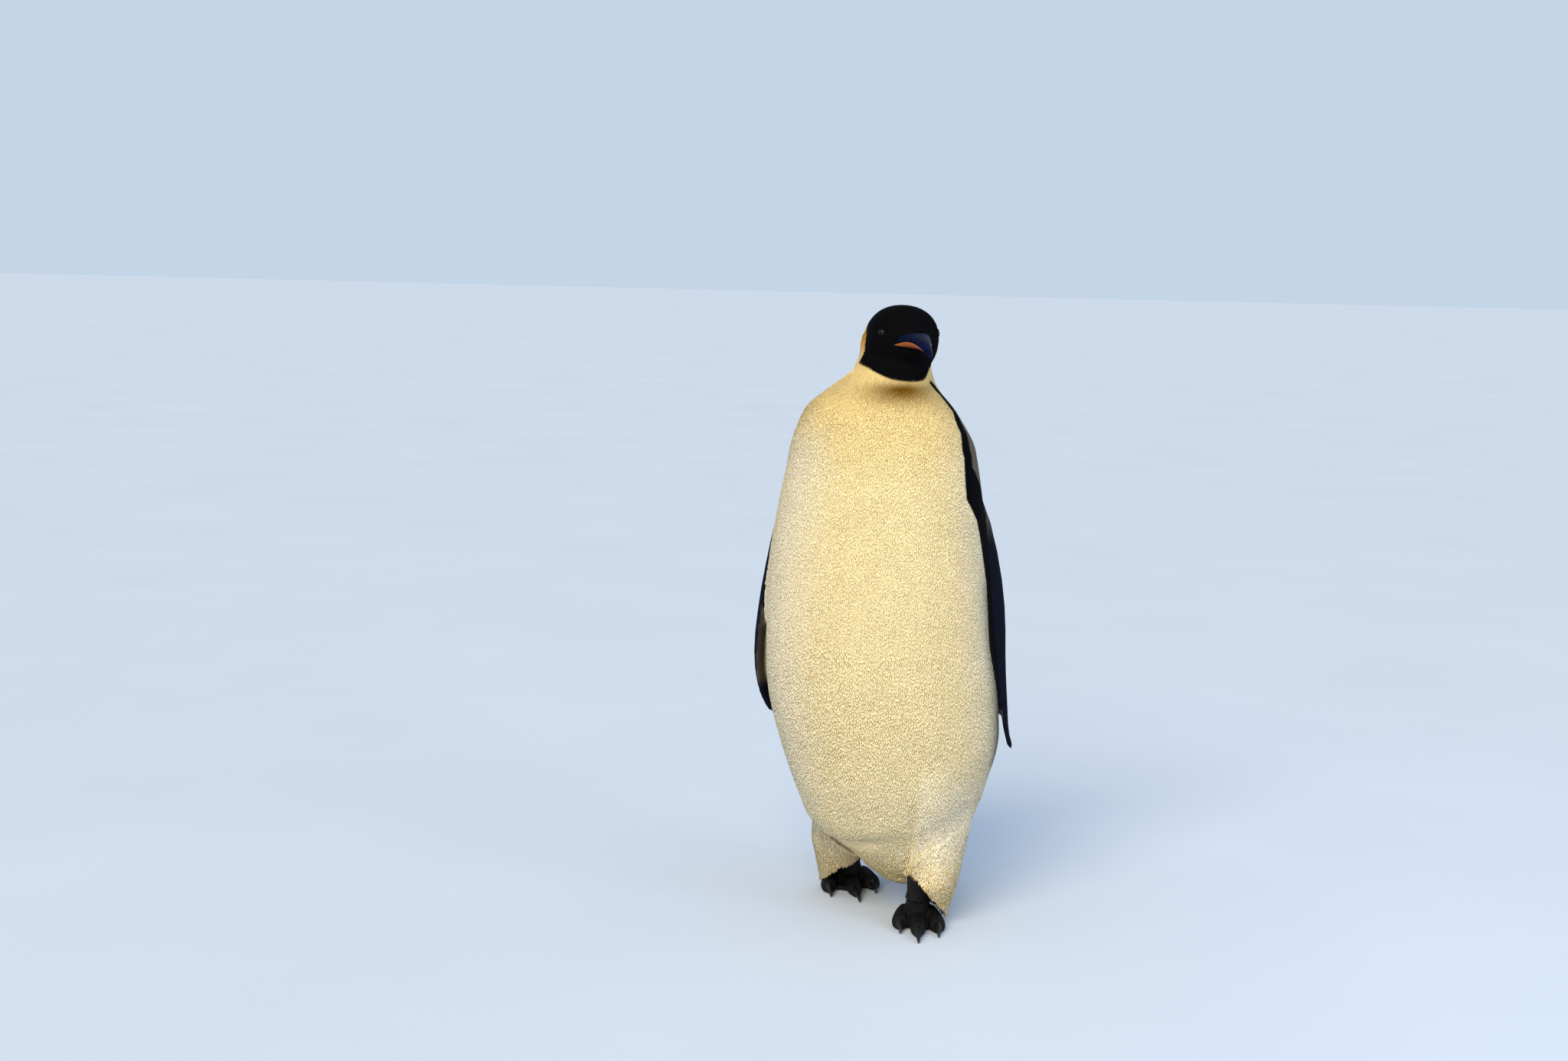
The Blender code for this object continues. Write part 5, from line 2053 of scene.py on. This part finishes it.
    def faces_of(self, zone: Zone) -> Array:
        """Choose the skin's faces that a zone's feathers grow from.

        Args:
            zone: the zone; a fringe grows from the last of a leg above its cuff's edge.

        Returns:
            True for each chosen face.
        """
        if zone not in self.fringes:
            return self.skin.zone == zone.value
        leg, side, inward = self.fringes[zone]
        chosen = self.skin.zone == leg
        tree = KDTree(len(self.skin.hem[leg]))
        for number, place in enumerate(self.skin.hem[leg]):
            tree.insert(place, number)
        tree.balance()
        for number in np.nonzero(chosen)[0]:
            near = tree.find(self.skin.centres[number])[2] < self.fringe_reach
            normal = self.skin.obj.data.polygons[int(number)].normal
            outward = side * normal.x > inward
            chosen[number] = near and normal.z > self.fringe_under and outward
        return chosen

    def size(self, points: Array, vane: Vane) -> Array:
        """Give the size of the feathers at each place, against the zone's own.

        Args:
            points: places on the skin.
            vane: the zone's feathers.

        Returns:
            A factor for each place.
        """
        size = np.ones(len(points))
        growth = self.growths.get(vane.zone)
        if growth:
            place = self.anatomy.on_head(points)[:, 0] if growth.on_head else points[:, 2]
            size = growth.base + growth.gain * growth.fade.at(place)
        if vane.zone is Zone.FACE:
            for eye in (self.anatomy.eye_left, self.anatomy.eye_right):
                size = size * (1.0 + self.eye_gain * self.eye_fade.at(distance(points, eye)))
        room = (points[:, 2] - self.floor_gap) / (self.longest * (vane.length / 1000))
        return np.minimum(size, np.maximum(room, self.shortest))

    def unwrap(self, roots: Array, zone: Zone) -> Array:
        """Lay the roots out flat: round the part and down it, or round a limb's own middle line.

        Args:
            roots: the root of every vane.
            zone: the zone they are in.

        Returns:
            A place from 0 to 1 in both directions for each root.
        """
        if zone in HEAD_ZONES:
            turn = self.anatomy.head_turn(roots) / 360.0 + 0.5
        elif zone in BACK_ZONES:
            turn = (self.anatomy.body_turn(roots) % 360.0) / 360.0
        elif zone in FRONT_ZONES:
            turn = self.anatomy.body_turn(roots) / 360.0 + 0.5
        else:
            slope = np.polyfit(roots[:, 2], roots[:, :2], 1)
            away = roots[:, :2] - (roots[:, 2:3] * slope[0] + slope[1])
            turn = np.arctan2(away[:, 0], away[:, 1]) / (2 * math.pi) + 0.5
        spans = []
        for values in (turn, roots[:, 2]):
            low, high = values.min(), values.max()
            spans.append((values - low) / max(high - low, TINY))
        margin = 2 * BAKE_PATCH
        return margin + (1.0 - 2 * margin) * np.stack(spans, axis=1)

    def scattered(self, vane: Vane, tree: NodeTree, source: Object) -> Object:
        """Run the scattering tree over one zone.

        Args:
            vane: the zone's feathers.
            tree: the scattering tree.
            source: the vane to repeat.

        Returns:
            The vanes as plain mesh.
        """
        obj = self.ground(vane)
        modifier = obj.modifiers.new("feathers", "NODES")
        modifier.node_group = tree
        coarse = 1.0
        values = {
            "Vane": source, "Spacing": vane.spacing * coarse / 1000, "Length": vane.length / 1000,
            "Width": vane.width * coarse / 1000, "Thickness": vane.thickness / 1000,
            "Lift": math.radians(vane.lift), "Ruffle": math.radians(vane.ruffle),
            "Sink": self.sink * vane.length / 1000, "Seed": vane.seed, "Finish": self.material,
        }
        for item in tree.interface.items_tree:
            if item.in_out == "INPUT" and item.name in values:
                modifier[item.identifier] = values[item.name]
        obj.name = "coat_" + vane.zone.value
        return settled(obj)

    def streaked(self, points: Array, zone: Zone) -> Array:
        """Say how far white and golden feathers differ where they lie side by side.

        Args:
            points: where each vane shows.
            zone: the zone they are in.

        Returns:
            How much a vane's luck counts: most on the legs and the near thigh.
        """
        x, height = points[:, 0], points[:, 2]
        thigh = self.thigh_x.at(x) * self.thigh_height.at(height)
        lobe = self.lobe_share * self.lobe_x.at(x) * self.lobe_height.at(height)
        share = np.ones(len(points)) if zone in CUFF_ZONES else np.maximum(thigh, lobe)
        return self.streak + (self.leg_streak - self.streak) * share

    def grow(self, vane: Vane, tree: NodeTree, source: Object) -> None:
        """Grow the coat of one zone as a piece of its own.

        Args:
            vane: the zone's feathers.
            tree: the scattering tree.
            source: the vane to repeat.
        """
        obj = self.scattered(vane, tree, source)
        mesh = obj.data
        roots, blade, luck = (get_attribute(mesh, name) for name in ("root", "blade", "luck"))
        node = vane.zone.value if vane.zone.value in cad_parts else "trunk"
        # A vane takes its marking from where its bare end shows, so that an edge stays crisp
        places = points_of(mesh).reshape(-1, vane.corners, 3)
        shown = places[:, 0] * (1.0 - self.shown) + places[:, 1] * self.shown
        marks, tints = self.skin.markings.pattern(shown, np.full(len(shown), node))
        whiter = self.streaked(shown, vane.zone) * (luck[::vane.corners] - self.lucky)
        tints[:, 1] = np.clip(tints[:, 1] + whiter, 0.0, 1.0)
        set_attribute(mesh, "marks", np.repeat(marks, vane.corners, axis=0))
        set_attribute(mesh, "tints", np.repeat(tints, vane.corners, axis=0))
        set_attribute(mesh, "vane", np.stack((blade[:, 0], luck, blade[:, 1]), axis=1))
        flat = self.unwrap(roots, vane.zone) + (blade[:, :2] - 0.5) * BAKE_PATCH
        layer = mesh.uv_layers.new(name=BAKE_MAP)
        layer.data.foreach_set("uv", flat[corners_of(mesh)].ravel())
        for name in ("root", "blade", "luck", "flow", "size"):
            if name in mesh.attributes:
                mesh.attributes.remove(mesh.attributes[name])
        mesh.materials.clear()
        mesh.materials.append(self.material)
        put_in_place(obj, vane.slot)

    def build(self) -> None:
        """Grow every zone's coat."""
        tree = CoatTree().build()
        sources = {fine: self.vane_object(fine) for fine in (False, True)}
        for vane in self.vanes:
            self.grow(vane, tree, sources[vane.fine])
        for source in sources.values():
            drop(source)


# ----- Bill, claws and eyes -----


@dataclass
class Bill:
    """The horn of both halves of the bill, and the coloured plates of the lower half."""

    anatomy: Anatomy
    horn: Material
    plate: Material
    voxel: float = 0.0007
    form_rounds: int = 20
    even_rounds: int = 24
    tip: Fade = Fade(0.090, 0.112)  # forward on the head
    tip_kept: float = 0.85  # the tip is evened out less, by this share
    plate_voxel: float = 0.0005
    plate_rounds: int = 30
    # The nostril groove on the upper half: forward on the head, up on it
    groove_line: tuple = ((0.060, 0.0190), (0.086, 0.0195), (0.108, 0.0150))
    groove_start: Fade = Fade(0.060, 0.070)
    groove_end: Fade = Fade(0.108, 0.088)
    groove_depth: float = 0.0008
    groove_half_height: float = 0.0016

    def half(self, node: str) -> Object:
        """Make one half of the bill from its solid, its tip kept keen.

        Args:
            node: its CAD node.

        Returns:
            The piece.
        """
        obj = remeshed(joined_nodes(node + "_horn", (node,)), self.voxel, self.form_rounds)
        mesh = obj.data
        points = points_of(mesh)
        share = 1.0 - self.tip_kept * self.tip.at(self.anatomy.on_head(points)[:, 0])
        set_points(mesh, evened(points, edges_of(mesh), self.even_rounds, share[:, None]))
        mesh.materials.append(self.horn)
        return obj

    def carve_grooves(self, mesh: Mesh) -> None:
        """Press the nostril grooves into the upper half.

        Args:
            mesh: the mesh of that half.
        """
        points = points_of(mesh)
        head = self.anatomy.on_head(points)
        off = np.abs(head[:, 2] - read_table(self.groove_line, head[:, 0]))
        off = off / self.groove_half_height
        span = self.groove_start.at(head[:, 0]) * self.groove_end.at(head[:, 0])
        cut = self.groove_depth * span * np.clip(1.0 - off**2, 0.0, 1.0)
        set_points(mesh, points - normals_of(mesh) * cut[:, None])

    def build(self) -> None:
        """Make both halves and both plates."""
        for node in ("bill_upper", "bill_lower"):
            obj = self.half(node)
            if node == "bill_upper":
                self.carve_grooves(obj.data)
            put_in_place(obj, RecordSlot.HORN, node)
        for node in ("bill_plate_left", "bill_plate_right"):
            solid = joined_nodes(node + "_horn", (node,))
            obj = remeshed(solid, self.plate_voxel, self.plate_rounds)
            mesh = obj.data
            forward = self.anatomy.on_head(points_of(mesh))[:, 0]
            set_attribute(mesh, "run", (forward - forward.min()) / np.ptp(forward))
            mesh.materials.append(self.plate)
            put_in_place(obj, RecordSlot.PLATE, node)


@dataclass
class Claws:
    """The claws of both feet, each a piece of its own."""

    horn: Material
    voxel: float = 0.0008
    form_rounds: int = 6
    floor_gap: float = 0.0001

    def build(self) -> None:
        """Make each claw from its solid."""
        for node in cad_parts:
            if node.startswith("claw_"):
                solid = joined_nodes(node + "_horn", (node,))
                obj = remeshed(solid, self.voxel, self.form_rounds)
                lifted(obj, self.floor_gap)
                obj.data.materials.append(self.horn)
                put_in_place(obj, RecordSlot.HORN, node)


@dataclass
class Eye:
    """One eyeball with a slightly raised cornea."""

    anatomy: Anatomy
    side: float  # 1 for the left eye, -1 for the right one
    radius: float = 0.0092
    cornea: float = 0.0005  # how far the cornea stands out of the ball
    cornea_half: float = 0.45  # how far round it reaches, in radians
    lid_gap: float = 0.0001  # the lids leave this much room over the ball
    segments: int = 48
    rings: int = 32
    # Faces of the head between these distances that look outward give the eye's direction
    near: float = 0.0115
    far: float = 0.022
    outward: float = 0.3

    @property
    def middle(self) -> Vector:
        """Return the ball's middle."""
        return self.anatomy.eye_left if self.side > 0 else self.anatomy.eye_right

    def axes(self) -> tuple[Vector, Vector, Vector]:
        """Find the eye's own directions.

        Returns:
            The outward, the forward and the upward direction.
        """
        out = Vector((0.0, 0.0, 0.0))
        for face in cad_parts["head"].data.polygons:
            away = face.center - self.middle
            outward = face.normal.dot(away) > self.outward * away.length
            if self.near < away.length < self.far and outward:
                out += face.normal * face.area
        out.normalize()
        forward = Vector(self.anatomy.forward)
        ahead = (forward - out * out.dot(forward)).normalized()
        above = out.cross(ahead)
        if above.dot(Vector(self.anatomy.above)) < 0:
            above = -above
        return out, ahead, above

    def build(self, finish: Material) -> None:
        """Make the ball.

        Args:
            finish: its material.
        """
        label = "left" if self.side > 0 else "right"
        pole = Vector((0, 0, 1))
        work = bmesh.new()
        bmesh.ops.create_uvsphere(work, u_segments=self.segments, v_segments=self.rings, radius=self.radius)
        away = []
        for vert in work.verts:
            angle = vert.co.angle(pole)
            away.append(angle / (math.pi / 2))
            bulge = math.exp(-((angle / self.cornea_half) ** 4))
            vert.co *= 1.0 + self.cornea / self.radius * bulge
        turn = pole.rotation_difference(self.axes()[0]).to_matrix().to_4x4()
        bmesh.ops.transform(work, matrix=Matrix.Translation(self.middle) @ turn, verts=work.verts)
        obj = mesh_object("eyeball_" + label, work)
        obj.data.shade_smooth()
        set_attribute(obj.data, "away", np.array(away))
        obj.data.materials.append(finish)
        put_in_place(obj, RecordSlot.EYE, "eye_" + label)


# ----- Studio -----


@dataclass(frozen=True)
class Softbox:
    """One area light: where it stands from the bird's middle, its size, power and tint."""

    name: str
    place: tuple[float, float, float]
    size: float
    power: float
    tint: str

    def build(self, aim: Vector) -> None:
        """Hang the light and turn it to the bird.

        Args:
            aim: the point it faces.
        """
        data = bpy.data.lights.new(self.name, "AREA")
        data.shape = "DISK"
        data.size = self.size
        data.energy = self.power
        data.color = linear(self.tint)[:3]
        lamp = new_object(self.name, data)
        lamp.location = aim + Vector(self.place)
        lamp.visible_camera = False
        lamp.rotation_euler = (aim - lamp.location).to_track_quat("-Z", "Y").to_euler()


@dataclass(frozen=True)
class KeyLight:
    """The low hazy light from the front; angles are degrees."""

    turn: float = -20.0  # where it stands, from -Y towards +X
    height: float = 34.0
    strength: float = 3.12
    softness: float = 35.0
    tint: str = "#FFEFD8"

    def build(self) -> None:
        """Hang the light and turn it."""
        data = bpy.data.lights.new("key", "SUN")
        data.energy = self.strength
        data.angle = math.radians(self.softness)
        data.color = linear(self.tint)[:3]
        turn, height = math.radians(self.turn), math.radians(self.height)
        level = math.cos(height)
        way = Vector((math.sin(turn) * level, -math.cos(turn) * level, math.sin(height)))
        new_object("key", data).rotation_euler = (-way).to_track_quat("-Z", "Y").to_euler()


@dataclass
class Studio:
    """Floor, soft light and camera."""

    anatomy: Anatomy
    lens: float = 50.0
    sensor: float = 36.0
    camera_from_eyes: tuple = (-0.1962, -3.56821, 0.12608)
    camera_down: float = 7.2809  # the camera looks this far below level
    camera_roll: float = 1.35
    floor_half: float = 60.0
    floor_drop: float = 0.0004
    sky: str = "#C4D5E8"
    sky_strength: float = 1.0
    aim_share: float = 0.55  # the soft lights face this share of the bird's height
    key: KeyLight = KeyLight()
    lights: tuple = (
        Softbox("fill", (2.4, -2.0, 1.3), 1.2, 26.0, "#D6E4FF"),
        Softbox("low front", (-0.3, -4.4, -0.22), 0.7, 47.0, "#FFEFD4"),
    )

    def build(self, floor_finish: Material) -> None:
        """Set up the floor, the sky, the lights and the camera.

        Args:
            floor_finish: the floor's material.
        """
        self.floor(floor_finish)
        self.heaven()
        aim = Vector((0.0, 0.0, self.aim_share * CAD_BOX[1].z))
        for light in self.lights:
            light.build(aim)
        self.key.build()
        bpy.context.scene.view_settings.view_transform = "Standard"
        self.camera()

    def floor(self, finish: Material) -> None:
        """Lay the floor.

        Args:
            finish: its material.
        """
        half, height = self.floor_half, -self.floor_drop
        corners = [(-half, -half), (half, -half), (half, half), (-half, half)]
        mesh = bpy.data.meshes.new("studio_floor")
        mesh.from_pydata([(x, y, height) for x, y in corners], [], [(0, 1, 2, 3)])
        mesh.materials.append(finish)
        new_object("studio_floor", mesh)

    def heaven(self) -> None:
        """Light the scene from an even, pale blue sky."""
        world = bpy.data.worlds.new("studio")
        bpy.context.scene.world = world
        world.use_nodes = True
        sky = world.node_tree.nodes["Background"]
        sky.inputs["Color"].default_value = linear(self.sky)
        sky.inputs["Strength"].default_value = self.sky_strength

    def camera(self) -> None:
        """Stand the camera before the bird, looking a little down."""
        data = bpy.data.cameras.new("camera")
        data.lens = self.lens
        data.sensor_width = self.sensor
        data.clip_end = 4 * self.floor_half
        camera = new_object("camera", data)
        tilt = Matrix.Rotation(math.radians(90.0 - self.camera_down), 4, "X")
        roll = Matrix.Rotation(math.radians(self.camera_roll), 4, "Z")
        place = self.anatomy.eyes_middle + Vector(self.camera_from_eyes)
        camera.matrix_world = Matrix.Translation(place) @ tilt @ roll
        bpy.context.scene.camera = camera


# ----- The bird -----


def main() -> None:
    """Build the bird and its studio, piece by piece."""
    logging.basicConfig(level=logging.INFO, format="%(name)s %(relativeCreated)d %(message)s")
    anatomy = Anatomy()
    skin = Skin(anatomy, Markings(anatomy))
    skin.build()
    under = PlumageFinish("feathered skin", False)
    skin.dress(under.build(), ScalyFootFinish().build())
    feathers = PlumageFinish("contour feathers", True)
    Plumage(anatomy, skin, feathers.build()).build()
    skin.place()
    # The bill's black horn is clouded with navy, a painted blue sheen of reflected sky
    bill_horn = HornFinish("black bill horn", "#020308", "#050E2E", 0.42, 0.15, tint="#2A56E8")
    Bill(anatomy, bill_horn.build(), PlateFinish().build()).build()
    claw_horn = HornFinish("black claw horn", "#040404", "#0D0B0A", 0.45, 0.3)
    Claws(claw_horn.build()).build()
    eye_finish = EyeFinish().build()
    for side in SIDES.values():
        Eye(anatomy, side).build(eye_finish)
    Studio(anatomy).build(FloorFinish().build())
    LOG.info("done")


if __name__ == "__main__":
    main()
